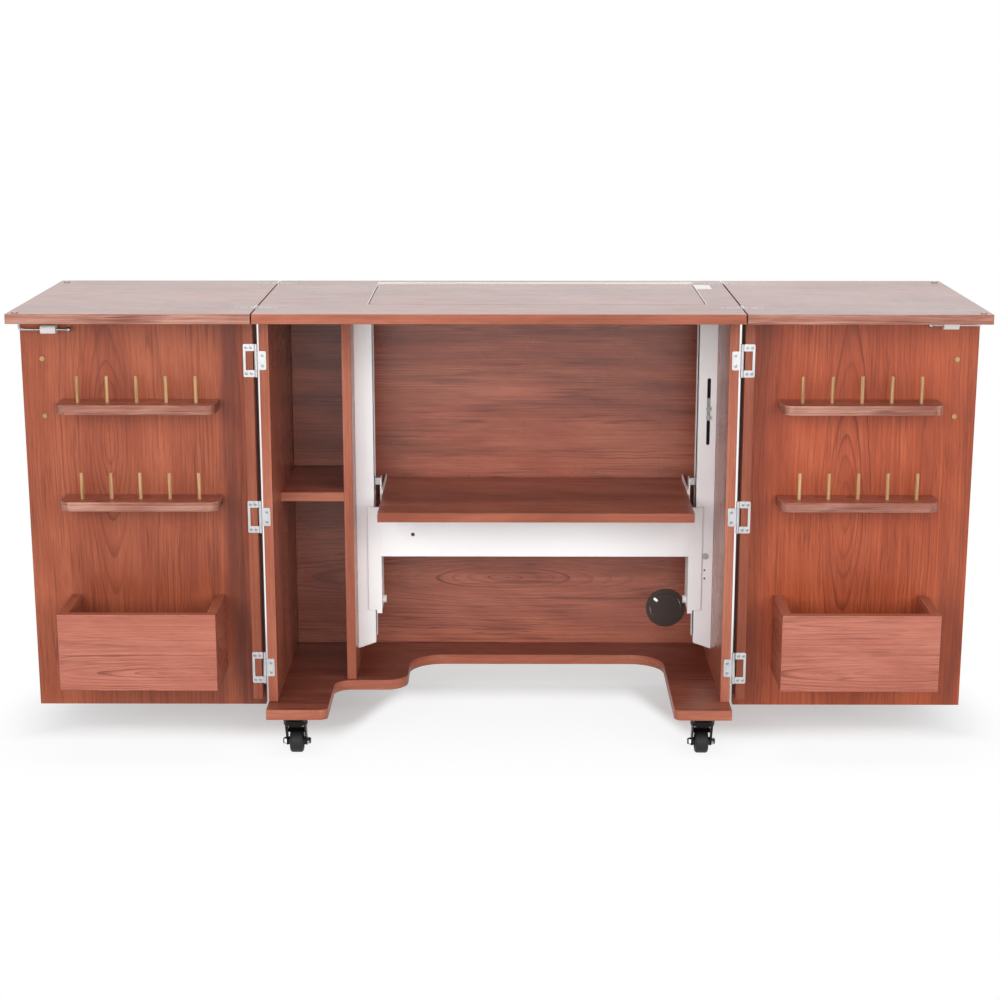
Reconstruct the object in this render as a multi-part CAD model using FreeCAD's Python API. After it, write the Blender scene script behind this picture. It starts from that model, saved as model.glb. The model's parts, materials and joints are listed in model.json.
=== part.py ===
import FreeCAD, Part
import os

# Fold-away work cabinet on casters, standing open: both leaves lie flat, both doors are
# swung half a turn so that they stand under the leaves, and the lift is at its lowest.
# Millimetres, +X to the right, +Y to the back, +Z up, with the origin on the floor below
# the middle of the outline's box.

# Overall
TOP_WIDTH = 795.0        # centre top, from leaf joint to leaf joint
TOP_DEPTH = 457.0        # front edge to back edge of the top
TOTAL_HEIGHT = 760.0     # floor to top surface
BOARD = 16.0             # laminated board
BASE_BOARD = 18.0
CASTER_HEIGHT = 70.0     # floor to underside of the base

# Carcass
SIDE_OVERHANG = 3.9      # top past each side panel
SIDE_SETBACK = 69.0      # side panels behind the top's front edge
DIVIDER_SETBACK = 195.5  # divider behind the top's front edge
REAR_OVERHANG = 14.0     # top past the back panel
LEFT_BAY = 109.0         # clear width left of the divider
SHELF_DROP = 334.0       # fixed shelf's top below the top surface

# Base outline: two feet, and a knee recess with a step in front of the divider
FOOT_LEFT = 104.1
FOOT_RIGHT = 97.0
STEP_LEDGE = 4.5         # step's front edge before the divider
STEP_PAST = 90.0         # step's end past the divider
KNEE_REAR = 95.0         # base left behind the knee recess
FOOT_R = 15.0
STEP_IN_R = 30.0
STEP_OUT_R = 40.0
KNEE_R = 60.0

# Clearances
MOVE_GAP = 0.3           # between pieces that move past each other
RUN_GAP = 0.06           # radial, pins and rods in their holes
LEAF_JOINT = 2.4         # centre top to leaf
LEAF_MEET = 7.2          # between the leaves when both are folded in
DOOR_MEET = 4.0          # between the doors when both are shut
DOOR_BASE_GAP = 1.8      # base to door panel when shut
DOOR_DROP = 2.0          # door panel below the base
STILE_LIFT = 4.6         # stile above the base
LID_GAP = 1.6            # lid to liner at the sides, and to the top in front
LID_BACK_GAP = 20.0      # lid to liner at the back, where cables pass

# Leaves, their bumpers and their flush hinges
LEAF_HINGE_LENGTH = 71.0
LEAF_HINGE_WIDTH = 14.0
LEAF_HINGE_PLATE = 2.0
LEAF_HINGE_RISE = 1.0    # pin above the top surface
LEAF_HINGE_R = 2.4
LEAF_HINGE_CORNER = 3.0
LEAF_PIN_R = 1.1
LEAF_HINGE_FRONT = 85.0  # hinge's middle from the front edge
LEAF_HINGE_REAR = 39.0   # hinge's middle from the back edge
BUMPER_R = 5.5
BUMPER_SPARE = 0.5       # left under a bumper when the leaf is folded in
BUMPER_SIDE = 13.0
BUMPER_FRONT = 18.0
BUMPER_REAR = 24.0

# Lidded opening in the centre top
OPEN_MARGIN = 34.0       # opening from the divider and from the right side panel
OPEN_FRONT = 125.0
OPEN_REAR = 32.0
LINER = 1.2
LINER_LEDGE = 12.0
LINER_SPARE = 0.8        # left above the liner's lip when a leaf is folded in
NOTCH_WIDTH = 28.0
NOTCH_DEPTH = 58.0
NOTCH_PLATE = 2.0
NOTCH_REAR = 32.0        # notch plate from the back of the opening

# Doors and their framed hinges
STILE_DEPTH = 47.0
DOOR_HINGE_GAP = 9.8     # side panel to stile with the door open
HINGE_PLATE = 1.5
HINGE_TALL = 54.6
HINGE_LEAF_TALL = 31.0
HINGE_RIM = 4.0
HINGE_CORNER = 2.5
HINGE_R = 3.0
HINGE_PIN_R = 1.5
HINGE_FROM_TOP = 85.0    # top hinge's middle below the top surface
HINGE_FROM_BASE = 61.0   # bottom hinge's middle above the base

# Door fittings
PEG_SHELF_WIDTH = 264.0
PEG_SHELF_DEPTH = 64.0
PEG_SHELF_R = 18.0
PEG_SHELF_DROPS = (157.0, 320.0)  # below the top surface
PEG_COUNT = 5
PEG_END = 34.0           # outer peg from the shelf's end
PEG_OUT = 36.0           # pegs from the door's face
PEG_R = 3.0
PEG_RISE = 45.0
PEG_SOCKET = 8.0
PEG_TIP_R = 1.8
BIN_WIDTH = 262.0
BIN_DEPTH = 132.0
BIN_HEIGHT = 131.0
BIN_BOARD = 16.0
BIN_RISE = 46.0          # above the base
HANDLE_SPACING = 96.0    # between its two screws
HANDLE_DROP = 137.5      # handle's middle below the top surface
HANDLE_INSET = 35.0      # from the door's free edge
HANDLE_R = 4.5
HANDLE_REACH = 30.0
HANDLE_BEND = 14.0
SCREW_R = 2.0
SCREW_PLAY = 0.2
SCREW_HEAD_R = 4.2
SCREW_HEAD = 2.2
BOLT_R = 2.0
BOLT_DROP = 35.0         # rods' mean height below the top surface
BOLT_STAGGER = 4.0       # left rod below and right rod above that mean
BOLT_LENGTH = 82.0
BOLT_TIP = 10.0
BOLT_BEND = 3.0
BOLT_KNOB_R = 4.5
BOLT_OUT = 12.0          # rod from the door's face
GUIDE_WIDTH = 25.0
GUIDE_WALL = 5.0         # guide round the rod
GUIDE_INSET = 38.0       # guide from the door's free edge

# Lift
STEEL = 2.0
COLUMN_WIDTH = 31.3
COLUMN_SETBACK = 265.0
COLUMN_DEPTH = 60.0
COLUMN_LIP = 12.0        # lip at each side of the column's mouth
COLUMN_RISE = 37.0       # above the base
COLUMN_SLANT = 11.0      # lower end rises this much towards the bay
COLUMN_HEAD_GAP = 0.3
SLOT_INSET = 13.6        # slot from the panel behind the column
SLOT_WIDTH = 6.0
SLOT_DROPS = (146.0, 264.0)
CLAMP_DROPS = (199.5, 215.0)
CLAMP_HEAD_R = 4.6
CLAMP_HEAD = 3.0
CLAMP_R = 2.5
CLAMP_BAR = (12.0, 4.0)  # width and thickness
CLAMP_BAR_OVER = 18.0
STOP_DROP = 464.0        # stop bolt below the top surface
STOP_HEAD_R = 5.5
SIGHT_DROPS = (490.0, 505.0)
SIGHT_R = 1.8
LIFT_DROP = 355.5        # platform's top below the top surface, at rest
PLATFORM_SETBACK = 128.0
PLATFORM_REAR = 7.0      # platform to back panel
CHEEK_GAP = 10.0         # column's mouth to the carriage's cheek
CARRIAGE_GAP = 1.5       # carriage's front plate before the column
CARRIAGE_WIDTH = 24.0
CARRIAGE_DROP = 19.5     # carriage's front plate below the platform's top
CARRIAGE_RISE = 72.0     # carriage's lower end above the column's
CARRIAGE_TAB = (9.0, 6.0)
EAR_WIDTH = 28.0
EAR_RISE = 28.0          # ear above the platform's top
CROSSBAR_TALL = 93.0
CROSSBAR_FLANGE = 26.0
CROSSBAR_HOLE_R = 3.4
CROSSBAR_HOLE = (56.0, 40.0)   # in from its left end, up from its lower edge
ARM_LEG = 20.0
ARM_RISE = 7.0           # arm above the platform's top
BLOCK_TALL = 24.0
BLOCK_INTO = 5.0         # block past the column's lips
STUD_R = 3.0
STUD_HEAD_R = 7.0
STUD_HEAD = 6.0
BLOCK_UPPER = 45.0       # upper block's middle below the carriage's upper end
STRUT_R = 9.0
STRUT_WALL = 1.8
STRUT_ROD_R = 4.0
STRUT_BUSH = 8.0
STRUT_FOOT = 12.0
STRUT_PLUG = 4.0
STRUT_SPARE = 1.5
PISTON = 10.0
STRUT_HEAD = 12.0
STRUT_HEAD_WIDTH = 18.0

# Cable grommet
GROMMET_INSET = 70.0     # from the right side panel
GROMMET_RISE = 68.4      # above the base
GROMMET_R = 36.0
GROMMET_RIM = 5.0
GROMMET_FLANGE = 2.5
GROMMET_WALL = 2.5
GROMMET_CAP_GAP = 0.5
GROMMET_CAP = 5.0
GROMMET_NOTCH = (9.0, 5.0)

# Casters
CASTER_INSET = 47.6      # swivel from the body's side
CASTER_FRONT = 45.0      # swivel from the top's front edge
CASTER_REAR = 75.0       # swivel from the top's back edge
CASTER_TRAIL = 18.0
MOUNT_PLATE = 38.0
MOUNT_PLATE_T = 2.5
KING_R = 4.0
KING_HEAD_R = 7.0
KING_HEAD = 3.0
FORK_R = 20.5
FORK_CAP = 10.0
FORK_LEG = 2.5
FORK_EYE_R = 7.5
FORK_CHAMFER = 1.5
WHEEL_R = 20.0
WHEEL_WIDTH = 23.0
WHEEL_GAP = 3.5
WHEEL_ROUND = 5.0
HUB_R = 7.0
WEB_R = 13.0
WEB_SUNK = 3.0
AXLE_R = 3.0
NUT_R = 5.0
NUT = 6.0

# Derived positions
BIN_PROUD = BIN_DEPTH - SIDE_SETBACK - STILE_DEPTH
FRONT = (BIN_PROUD - TOP_DEPTH) / 2.0
REAR = FRONT + TOP_DEPTH
TOP = TOTAL_HEIGHT
TOP_UNDER = TOP - BOARD
BASE_TOP = CASTER_HEIGHT + BASE_BOARD
JOINT_X = TOP_WIDTH / 2.0
BODY_X = JOINT_X - SIDE_OVERHANG
INNER_X = BODY_X - BOARD
SIDE_FRONT = FRONT + SIDE_SETBACK
BACK_OUT = REAR - REAR_OVERHANG
BACK_IN = BACK_OUT - BOARD
DIVIDER_FRONT = FRONT + DIVIDER_SETBACK
DIVIDER_LEFT = LEFT_BAY - INNER_X
DIVIDER_RIGHT = DIVIDER_LEFT + BOARD
FOLDED_GAP = 2.0 * LEAF_HINGE_RISE
HINGE_X = BODY_X + DOOR_HINGE_GAP / 2.0
HINGE_Y = SIDE_FRONT - (HINGE_PLATE + MOVE_GAP) / 2.0
STILE_X = BODY_X + DOOR_HINGE_GAP
DOOR_FACE = SIDE_FRONT + STILE_DEPTH
DOOR_BACK = DOOR_FACE + BOARD
DOOR_EDGE = 2.0 * HINGE_X - DOOR_MEET / 2.0
DOOR_MID = (STILE_X + DOOR_EDGE) / 2.0
DOOR_TOP = TOP_UNDER - MOVE_GAP
SHUT_FACE = 2.0 * HINGE_Y - DOOR_FACE
OPEN_LEFT = DIVIDER_RIGHT + OPEN_MARGIN
OPEN_RIGHT = INNER_X - OPEN_MARGIN
OPEN_NEAR = FRONT + OPEN_FRONT
OPEN_FAR = REAR - OPEN_REAR
LIFT_REST = TOP - LIFT_DROP
PLATFORM_UNDER = LIFT_REST - BOARD
PLATFORM_FAR = BACK_IN - PLATFORM_REAR
COLUMN_NEAR = FRONT + COLUMN_SETBACK
COLUMN_FAR = COLUMN_NEAR + COLUMN_DEPTH
COLUMN_MID = (COLUMN_NEAR + COLUMN_FAR) / 2.0
COLUMN_LOW = BASE_TOP + COLUMN_RISE
COLUMN_TOP = TOP_UNDER - COLUMN_HEAD_GAP
CHEEK_OUT = COLUMN_WIDTH + CHEEK_GAP
CHEEK_IN = CHEEK_OUT + STEEL
PLATFORM_END = CHEEK_IN + STEEL
CARRIAGE_NEAR = COLUMN_NEAR - CARRIAGE_GAP - STEEL
CARRIAGE_TOP = LIFT_REST - CARRIAGE_DROP
CARRIAGE_LOW = COLUMN_LOW + CARRIAGE_RISE
STRUT_X = COLUMN_WIDTH / 2.0
STRUT_LOW = COLUMN_LOW + COLUMN_SLANT + STRUT_FOOT
STRUT_TOP = LIFT_REST + EAR_RISE - STRUT_HEAD - STRUT_SPARE
FORK_TOP = CASTER_HEIGHT - MOUNT_PLATE_T - MOVE_GAP
FORK_LOW = FORK_TOP - FORK_CAP
LEG_IN = WHEEL_WIDTH / 2.0 + WHEEL_GAP
LEG_OUT = LEG_IN + FORK_LEG

V = FreeCAD.Vector
X_AXIS = V(1, 0, 0)
Y_AXIS = V(0, 1, 0)
Z_AXIS = V(0, 0, 1)
THROUGH = 1.0            # how far a cutter reaches past what it cuts
TINY = 0.001


def box(x0, x1, y0, y1, z0, z1):
    return Part.makeBox(x1 - x0, y1 - y0, z1 - z0, V(x0, y0, z0))


def rod(r, start, axis, length):
    return Part.makeCylinder(r, length, V(*start), axis)


def drill(r, start, axis, length):
    """A cutter for a hole of this length, reaching past both of its ends."""
    return Part.makeCylinder(r, length + 2 * THROUGH, V(*start) - axis * THROUGH, axis)


def fuse(first, *others):
    for shape in others:
        first = first.fuse(shape)
    return first.removeSplitter()


def cut(first, *others):
    for shape in others:
        first = first.cut(shape)
    return first


def mirrored(shape):
    return shape.mirror(V(0, 0, 0), X_AXIS)


def prism(outline, axis, length):
    """Draw a closed outline out along an axis."""
    corners = [V(*p) for p in outline]
    return Part.Face(Part.makePolygon(corners + corners[:1])).extrude(axis * length)


def rounded(shape, radius, axis, wanted):
    """Round the straight edges along an axis whose first end satisfies wanted(point)."""
    edges = []
    for edge in shape.Edges:
        ends = [v.Point for v in edge.Vertexes]
        if len(ends) == 2 and abs(abs((ends[1] - ends[0]).normalize().dot(axis)) - 1) < TINY and wanted(ends[0]):
            edges.append(edge)
    return shape.makeFillet(radius, edges)


def at_xy(x, y):
    return lambda p: abs(p.x - x) < TINY and abs(p.y - y) < TINY


def round_bar(corners, bend, r):
    """A bent bar: straight runs between corners, joined by square bends."""
    points = [V(*c) for c in corners]
    edges = []
    start = points[0]
    for before, corner, after in zip(points, points[1:], points[2:]):
        back = (before - corner).normalize() * bend
        ahead = (after - corner).normalize() * bend
        middle = corner + (back + ahead) * (1 - 0.5 ** 0.5)
        edges.append(Part.LineSegment(start, corner + back).toShape())
        edges.append(Part.Arc(corner + back, middle, corner + ahead).toShape())
        start = corner + ahead
    edges.append(Part.LineSegment(start, points[-1]).toShape())
    section = Part.Wire(Part.makeCircle(r, points[0], points[1] - points[0]))
    return Part.Wire(edges).makePipeShell([section], True, False)


def emit(name, *solids):
    made = solids[0] if len(solids) == 1 else Part.makeCompound(list(solids))
    made.exportStep(os.path.join("parts", name + ".step"))


def emit_pair(name, *left):
    """Left-hand solids, and their mirror images as the right-hand ones."""
    emit("left_" + name, *left)
    emit("right_" + name, *[mirrored(s) for s in left])


def both(left):
    return left + [mirrored(s) for s in left]


# Carcass

def base_board():
    near = SHUT_FACE + DOOR_BASE_GAP
    step = DIVIDER_FRONT - STEP_LEDGE
    knee = BACK_OUT - KNEE_REAR
    foot_left = FOOT_LEFT - BODY_X
    foot_right = BODY_X - FOOT_RIGHT
    step_x = DIVIDER_RIGHT + STEP_PAST
    outline = [
        (-BODY_X, near), (foot_left, near), (foot_left, step), (step_x, step), (step_x, knee),
        (foot_right, knee), (foot_right, near), (BODY_X, near), (BODY_X, BACK_OUT), (-BODY_X, BACK_OUT),
    ]
    board = prism([(x, y, CASTER_HEIGHT) for x, y in outline], Z_AXIS, BASE_BOARD)
    step_side = (knee - step) / (STEP_OUT_R + KNEE_R)
    ease = min(1.0, 0.95 * step_side)
    corners = [
        (FOOT_R, foot_left, near), (STEP_IN_R, foot_left, step), (STEP_OUT_R * ease, step_x, step),
        (KNEE_R * ease, step_x, knee), (KNEE_R, foot_right, knee), (FOOT_R, foot_right, near),
    ]
    for radius, x, y in corners:
        board = rounded(board, radius, Z_AXIS, at_xy(x, y))
    return board


def side_panel():
    return box(-BODY_X, -INNER_X, SIDE_FRONT, BACK_OUT, BASE_TOP, TOP_UNDER)


def divider_panel():
    return box(DIVIDER_LEFT, DIVIDER_RIGHT, DIVIDER_FRONT, BACK_IN, BASE_TOP, TOP_UNDER)


def fixed_shelf():
    top = TOP - SHELF_DROP
    return box(-INNER_X, DIVIDER_LEFT, DIVIDER_FRONT, BACK_IN, top - BOARD, top)


def grommet_middle():
    return INNER_X - GROMMET_INSET, BASE_TOP + GROMMET_RISE


def back_panel():
    panel = box(-INNER_X, INNER_X, BACK_IN, BACK_OUT, BASE_TOP, TOP_UNDER)
    x, z = grommet_middle()
    return panel.cut(drill(GROMMET_R - GROMMET_RIM, (x, BACK_IN, z), Y_AXIS, BOARD))


# Leaves and flush hinges, drawn for the left joint

def leaf_hinge_middles():
    return FRONT + LEAF_HINGE_FRONT, REAR - LEAF_HINGE_REAR


def hinge_rooms():
    """What the flush hinges and their barrels need cut out of both boards."""
    half = LEAF_HINGE_WIDTH / 2.0 + MOVE_GAP
    reach = LEAF_HINGE_LENGTH / 2.0 + MOVE_GAP
    rooms = []
    for y in leaf_hinge_middles():
        pocket = box(-JOINT_X - reach, -JOINT_X + reach, y - half, y + half, TOP - LEAF_HINGE_PLATE, TOP + THROUGH)
        rooms.append(rounded(pocket, LEAF_HINGE_CORNER, Z_AXIS, lambda p: True))
        rooms.append(rod(LEAF_HINGE_R + 2 * MOVE_GAP, (-JOINT_X, y - half, TOP + LEAF_HINGE_RISE), Y_AXIS, 2 * half))
    return rooms


def hinge_wing(y, side, knuckles):
    """One wing of a flush hinge: side -1 lies in the leaf, +1 in the centre top."""
    half = LEAF_HINGE_WIDTH / 2.0
    barrel_z = TOP + LEAF_HINGE_RISE
    far = -JOINT_X + side * LEAF_HINGE_LENGTH / 2.0
    near = -JOINT_X + side * (LEAF_HINGE_R + 3 * MOVE_GAP)
    wing = box(min(far, near), max(far, near), y - half, y + half, TOP - LEAF_HINGE_PLATE, TOP)
    wing = rounded(wing, LEAF_HINGE_CORNER, Z_AXIS, lambda p: abs(p.x - far) < TINY)
    for low, high in knuckles:
        arm = box(min(near, -JOINT_X), max(near, -JOINT_X), y + low, y + high, barrel_z - LEAF_HINGE_R, TOP)
        knuckle = rod(LEAF_HINGE_R, (-JOINT_X, y + low, barrel_z), Y_AXIS, high - low)
        wing = fuse(wing, arm, knuckle)
    return wing.cut(drill(LEAF_PIN_R + RUN_GAP, (-JOINT_X, y - half, barrel_z), Y_AXIS, 2 * half))


def leaf_wings():
    third = LEAF_HINGE_WIDTH / 6.0
    return [hinge_wing(y, -1, [(-third, third)]) for y in leaf_hinge_middles()]


def top_wings():
    half = LEAF_HINGE_WIDTH / 2.0
    clear = half / 3.0 + MOVE_GAP
    return [hinge_wing(y, 1, [(-half, -clear), (clear, half)]) for y in leaf_hinge_middles()]


def leaf_pins():
    half = LEAF_HINGE_WIDTH / 2.0
    spots = [(-JOINT_X, y - half, TOP + LEAF_HINGE_RISE) for y in leaf_hinge_middles()]
    return [rod(LEAF_PIN_R, spot, Y_AXIS, 2 * half) for spot in spots]


def leaf_ends():
    inner = JOINT_X + LEAF_JOINT / 2.0
    return inner, 2 * JOINT_X - LEAF_MEET / 2.0


def leaf_board():
    inner, outer = leaf_ends()
    return cut(box(-outer, -inner, FRONT, REAR, TOP_UNDER, TOP), *hinge_rooms())


def leaf_bumpers():
    x = BUMPER_SIDE - leaf_ends()[1]
    rise = FOLDED_GAP - BUMPER_SPARE
    return [rod(BUMPER_R, (x, y, TOP), Z_AXIS, rise) for y in (FRONT + BUMPER_FRONT, REAR - BUMPER_REAR)]


# Centre top with its lidded opening

def notch_plate():
    far = OPEN_FAR - NOTCH_REAR
    return box(OPEN_RIGHT, OPEN_RIGHT + NOTCH_WIDTH, far - NOTCH_DEPTH, far, TOP - NOTCH_PLATE, TOP)


def centre_top():
    half = JOINT_X - LEAF_JOINT / 2.0
    board = box(-half, half, FRONT, REAR, TOP_UNDER, TOP)
    opening = box(OPEN_LEFT, OPEN_RIGHT, OPEN_NEAR, OPEN_FAR, TOP_UNDER - THROUGH, TOP + THROUGH)
    return cut(board, opening, notch_plate(), *both(hinge_rooms()))


def opening_liner():
    """Edging round three sides of the opening, with side ledges that carry the lid."""
    low = TOP_UNDER - LINER
    inner = (OPEN_NEAR - THROUGH, OPEN_FAR - LINER)
    liner = box(OPEN_LEFT, OPEN_RIGHT, OPEN_NEAR, OPEN_FAR, low, TOP)
    lid_room = box(OPEN_LEFT + LINER, OPEN_RIGHT - LINER, *inner, TOP_UNDER, TOP + THROUGH)
    through = box(OPEN_LEFT + LINER_LEDGE, OPEN_RIGHT - LINER_LEDGE, *inner, low - THROUGH, TOP)
    lip = box(OPEN_LEFT, OPEN_RIGHT, OPEN_FAR - LINER, OPEN_FAR, TOP, TOP + FOLDED_GAP - LINER_SPARE)
    return fuse(cut(liner, lid_room, through), lip)


def lid():
    side = LINER + LID_GAP
    return box(OPEN_LEFT + side, OPEN_RIGHT - side, OPEN_NEAR + LID_GAP, OPEN_FAR - LINER - LID_BACK_GAP,
               TOP_UNDER, TOP)


# Doors, drawn for the left side

def hinge_middles():
    top, bottom = TOP - HINGE_FROM_TOP, BASE_TOP + HINGE_FROM_BASE
    return top, (top + bottom) / 2.0, bottom


def knuckle(low, high):
    return rod(HINGE_R, (-HINGE_X, HINGE_Y, low), Z_AXIS, high - low)


def pin_hole(z):
    return drill(HINGE_PIN_R + RUN_GAP, (-HINGE_X, HINGE_Y, z - HINGE_TALL / 2.0), Z_AXIS, HINGE_TALL)


def hinge_pin(z):
    return rod(HINGE_PIN_R, (-HINGE_X, HINGE_Y, z - HINGE_TALL / 2.0), Z_AXIS, HINGE_TALL)


def cabinet_hinge_leaf(z):
    """Small leaf on the side panel's front edge: it lies in the door leaf's window when shut."""
    low, high = z - HINGE_LEAF_TALL / 2.0, z + HINGE_LEAF_TALL / 2.0
    end = BOARD - BODY_X - HINGE_RIM - MOVE_GAP
    plate = box(-HINGE_X, end, SIDE_FRONT - HINGE_PLATE, SIDE_FRONT, low, high)
    plate = rounded(plate, HINGE_CORNER, Y_AXIS, lambda p: abs(p.x - end) < TINY)
    return fuse(plate, knuckle(low, high)).cut(pin_hole(z))


def door_hinge_leaf(z):
    """Framed leaf on the stile's front edge, open towards the barrel."""
    low, high = z - HINGE_TALL / 2.0, z + HINGE_TALL / 2.0
    reach = HINGE_LEAF_TALL / 2.0 + MOVE_GAP
    end = -STILE_X - BOARD
    plate = box(end, -HINGE_X, SIDE_FRONT - HINGE_PLATE, SIDE_FRONT, low, high)
    plate = rounded(plate, HINGE_CORNER, Y_AXIS, lambda p: abs(p.x - end) < TINY)
    window = box(end + HINGE_RIM, 0, SIDE_FRONT - HINGE_PLATE - THROUGH, SIDE_FRONT + THROUGH, z - reach, z + reach)
    frame = plate.cut(window)
    return fuse(frame, knuckle(low, z - reach), knuckle(z + reach, high)).cut(pin_hole(z))


def handle_screws():
    middle = TOP - HANDLE_DROP
    x = HANDLE_INSET - DOOR_EDGE
    return [(x, middle + way * HANDLE_SPACING / 2.0) for way in (-1, 1)]


def door_panel():
    panel = box(-DOOR_EDGE, -STILE_X, DOOR_FACE, DOOR_BACK, CASTER_HEIGHT - DOOR_DROP, DOOR_TOP)
    holes = [drill(SCREW_R + SCREW_PLAY, (x, DOOR_FACE, z), Y_AXIS, BOARD) for x, z in handle_screws()]
    return cut(panel, *holes)


def door_stile():
    return box(-STILE_X - BOARD, -STILE_X, SIDE_FRONT, DOOR_FACE, BASE_TOP + STILE_LIFT, DOOR_TOP)


def handle():
    """Bent-bar pull on the door's outer face, and the screws that hold it from the inner face."""
    (x, low), (_, high) = handle_screws()
    reach = DOOR_BACK + HANDLE_REACH
    bar = round_bar([(x, DOOR_BACK, low), (x, reach, low), (x, reach, high), (x, DOOR_BACK, high)],
                    HANDLE_BEND, HANDLE_R)
    screws = []
    for z in (low, high):
        shank = rod(SCREW_R, (x, DOOR_FACE, z), Y_AXIS, BOARD)
        screws.append(fuse(shank, rod(SCREW_HEAD_R, (x, DOOR_FACE - SCREW_HEAD, z), Y_AXIS, SCREW_HEAD)))
    return [bar] + screws


def peg_spots():
    pitch = (PEG_SHELF_WIDTH - 2 * PEG_END) / (PEG_COUNT - 1)
    return [-DOOR_MID + (k - (PEG_COUNT - 1) / 2.0) * pitch for k in range(PEG_COUNT)]


def peg(x, top):
    length = PEG_SOCKET + PEG_RISE
    made = rod(PEG_R, (x, DOOR_FACE - PEG_OUT, top - PEG_SOCKET), Z_AXIS, length)
    tip = [e for e in made.Edges if e.BoundBox.ZMin > top + PEG_RISE - TINY]
    return made.makeFillet(PEG_TIP_R, tip)


def peg_shelf(top):
    left, right = -DOOR_MID - PEG_SHELF_WIDTH / 2.0, -DOOR_MID + PEG_SHELF_WIDTH / 2.0
    near = DOOR_FACE - PEG_SHELF_DEPTH
    shelf = box(left, right, near, DOOR_FACE, top - BOARD, top)
    shelf = rounded(shelf, PEG_SHELF_R, Z_AXIS, lambda p: abs(p.y - near) < TINY)
    sockets = [rod(PEG_R, (x, DOOR_FACE - PEG_OUT, top - PEG_SOCKET), Z_AXIS, BOARD) for x in peg_spots()]
    return cut(shelf, *sockets)


def shelf_tops():
    return [TOP - drop for drop in PEG_SHELF_DROPS]


def bin_limits():
    half = BIN_WIDTH / 2.0
    low = BASE_TOP + BIN_RISE
    return -DOOR_MID - half, -DOOR_MID + half, DOOR_FACE - BIN_DEPTH, low, low + BIN_HEIGHT


def bin_front():
    left, right, near, low, high = bin_limits()
    return box(left, right, near, near + BIN_BOARD, low, high)


def bin_box():
    left, right, near, low, high = bin_limits()
    near = near + BIN_BOARD
    floor = box(left + BIN_BOARD, right - BIN_BOARD, near, DOOR_FACE, low, low + BIN_BOARD)
    ends = [box(x, x + BIN_BOARD, near, DOOR_FACE, low, high) for x in (left, right - BIN_BOARD)]
    return [floor] + ends


def bolt_guide(height):
    near = GUIDE_INSET - DOOR_EDGE
    y = DOOR_FACE - BOLT_OUT
    reach = BOLT_R + GUIDE_WALL
    block = box(near, near + GUIDE_WIDTH, y - reach, DOOR_FACE, height - reach, height + reach)
    block = rounded(block, GUIDE_WALL, X_AXIS, lambda p: p.y < y)
    return block.cut(drill(BOLT_R + RUN_GAP, (near, y, height), X_AXIS, GUIDE_WIDTH))


def bolt(height):
    """Hold-open rod with a ball at its inner end and its outer end turned up."""
    tip = BOLT_R - DOOR_EDGE
    y = DOOR_FACE - BOLT_OUT
    inner = tip + BOLT_LENGTH
    bar = round_bar([(inner, y, height), (tip, y, height), (tip, y, height + BOLT_TIP)], BOLT_BEND, BOLT_R)
    return fuse(bar, Part.makeSphere(BOLT_KNOB_R, V(inner, y, height)))


# Lift, drawn with x counted from the panel that a column stands by, then placed

def by_divider(shape):
    return shape.translated(V(DIVIDER_RIGHT, 0, 0))


def by_side(shape):
    return mirrored(shape).translated(V(INNER_X, 0, 0))


def column():
    """Lipped channel with its mouth towards the bay and its lower end cut on a slant."""
    lip = COLUMN_NEAR + COLUMN_LIP, COLUMN_FAR - COLUMN_LIP
    inside = COLUMN_NEAR + STEEL, COLUMN_FAR - STEEL
    mouth = COLUMN_WIDTH - STEEL
    outline = [
        (0, COLUMN_NEAR), (COLUMN_WIDTH, COLUMN_NEAR), (COLUMN_WIDTH, lip[0]), (mouth, lip[0]),
        (mouth, inside[0]), (STEEL, inside[0]), (STEEL, inside[1]), (mouth, inside[1]),
        (mouth, lip[1]), (COLUMN_WIDTH, lip[1]), (COLUMN_WIDTH, COLUMN_FAR), (0, COLUMN_FAR),
    ]
    channel = prism([(x, y, COLUMN_LOW) for x, y in outline], Z_AXIS, COLUMN_TOP - COLUMN_LOW)
    wedge = [(0, COLUMN_LOW), (COLUMN_WIDTH, COLUMN_LOW + COLUMN_SLANT), (COLUMN_WIDTH, COLUMN_LOW)]
    return channel.cut(prism([(x, COLUMN_NEAR, z) for x, z in wedge], Y_AXIS, COLUMN_DEPTH))


def slotted_column():
    """Column with the adjusting slot, the stop bolt's hole and two sight holes in its front."""
    high, low = [TOP - drop for drop in SLOT_DROPS]
    half = SLOT_WIDTH / 2.0
    slot = box(SLOT_INSET - half, SLOT_INSET + half, COLUMN_NEAR - THROUGH, COLUMN_NEAR + STEEL + THROUGH,
               low + half, high - half)
    holes = [(half, low + half), (half, high - half), (CLAMP_R, TOP - STOP_DROP)]
    holes += [(SIGHT_R, TOP - drop) for drop in SIGHT_DROPS]
    return cut(column(), slot, *[drill(r, (SLOT_INSET, COLUMN_NEAR, z), Y_AXIS, STEEL) for r, z in holes])


def head_bolt(head_r, z, length):
    head = rod(head_r, (SLOT_INSET, COLUMN_NEAR - CLAMP_HEAD, z), Y_AXIS, CLAMP_HEAD)
    return fuse(head, rod(CLAMP_R, (SLOT_INSET, COLUMN_NEAR, z), Y_AXIS, length))


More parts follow.
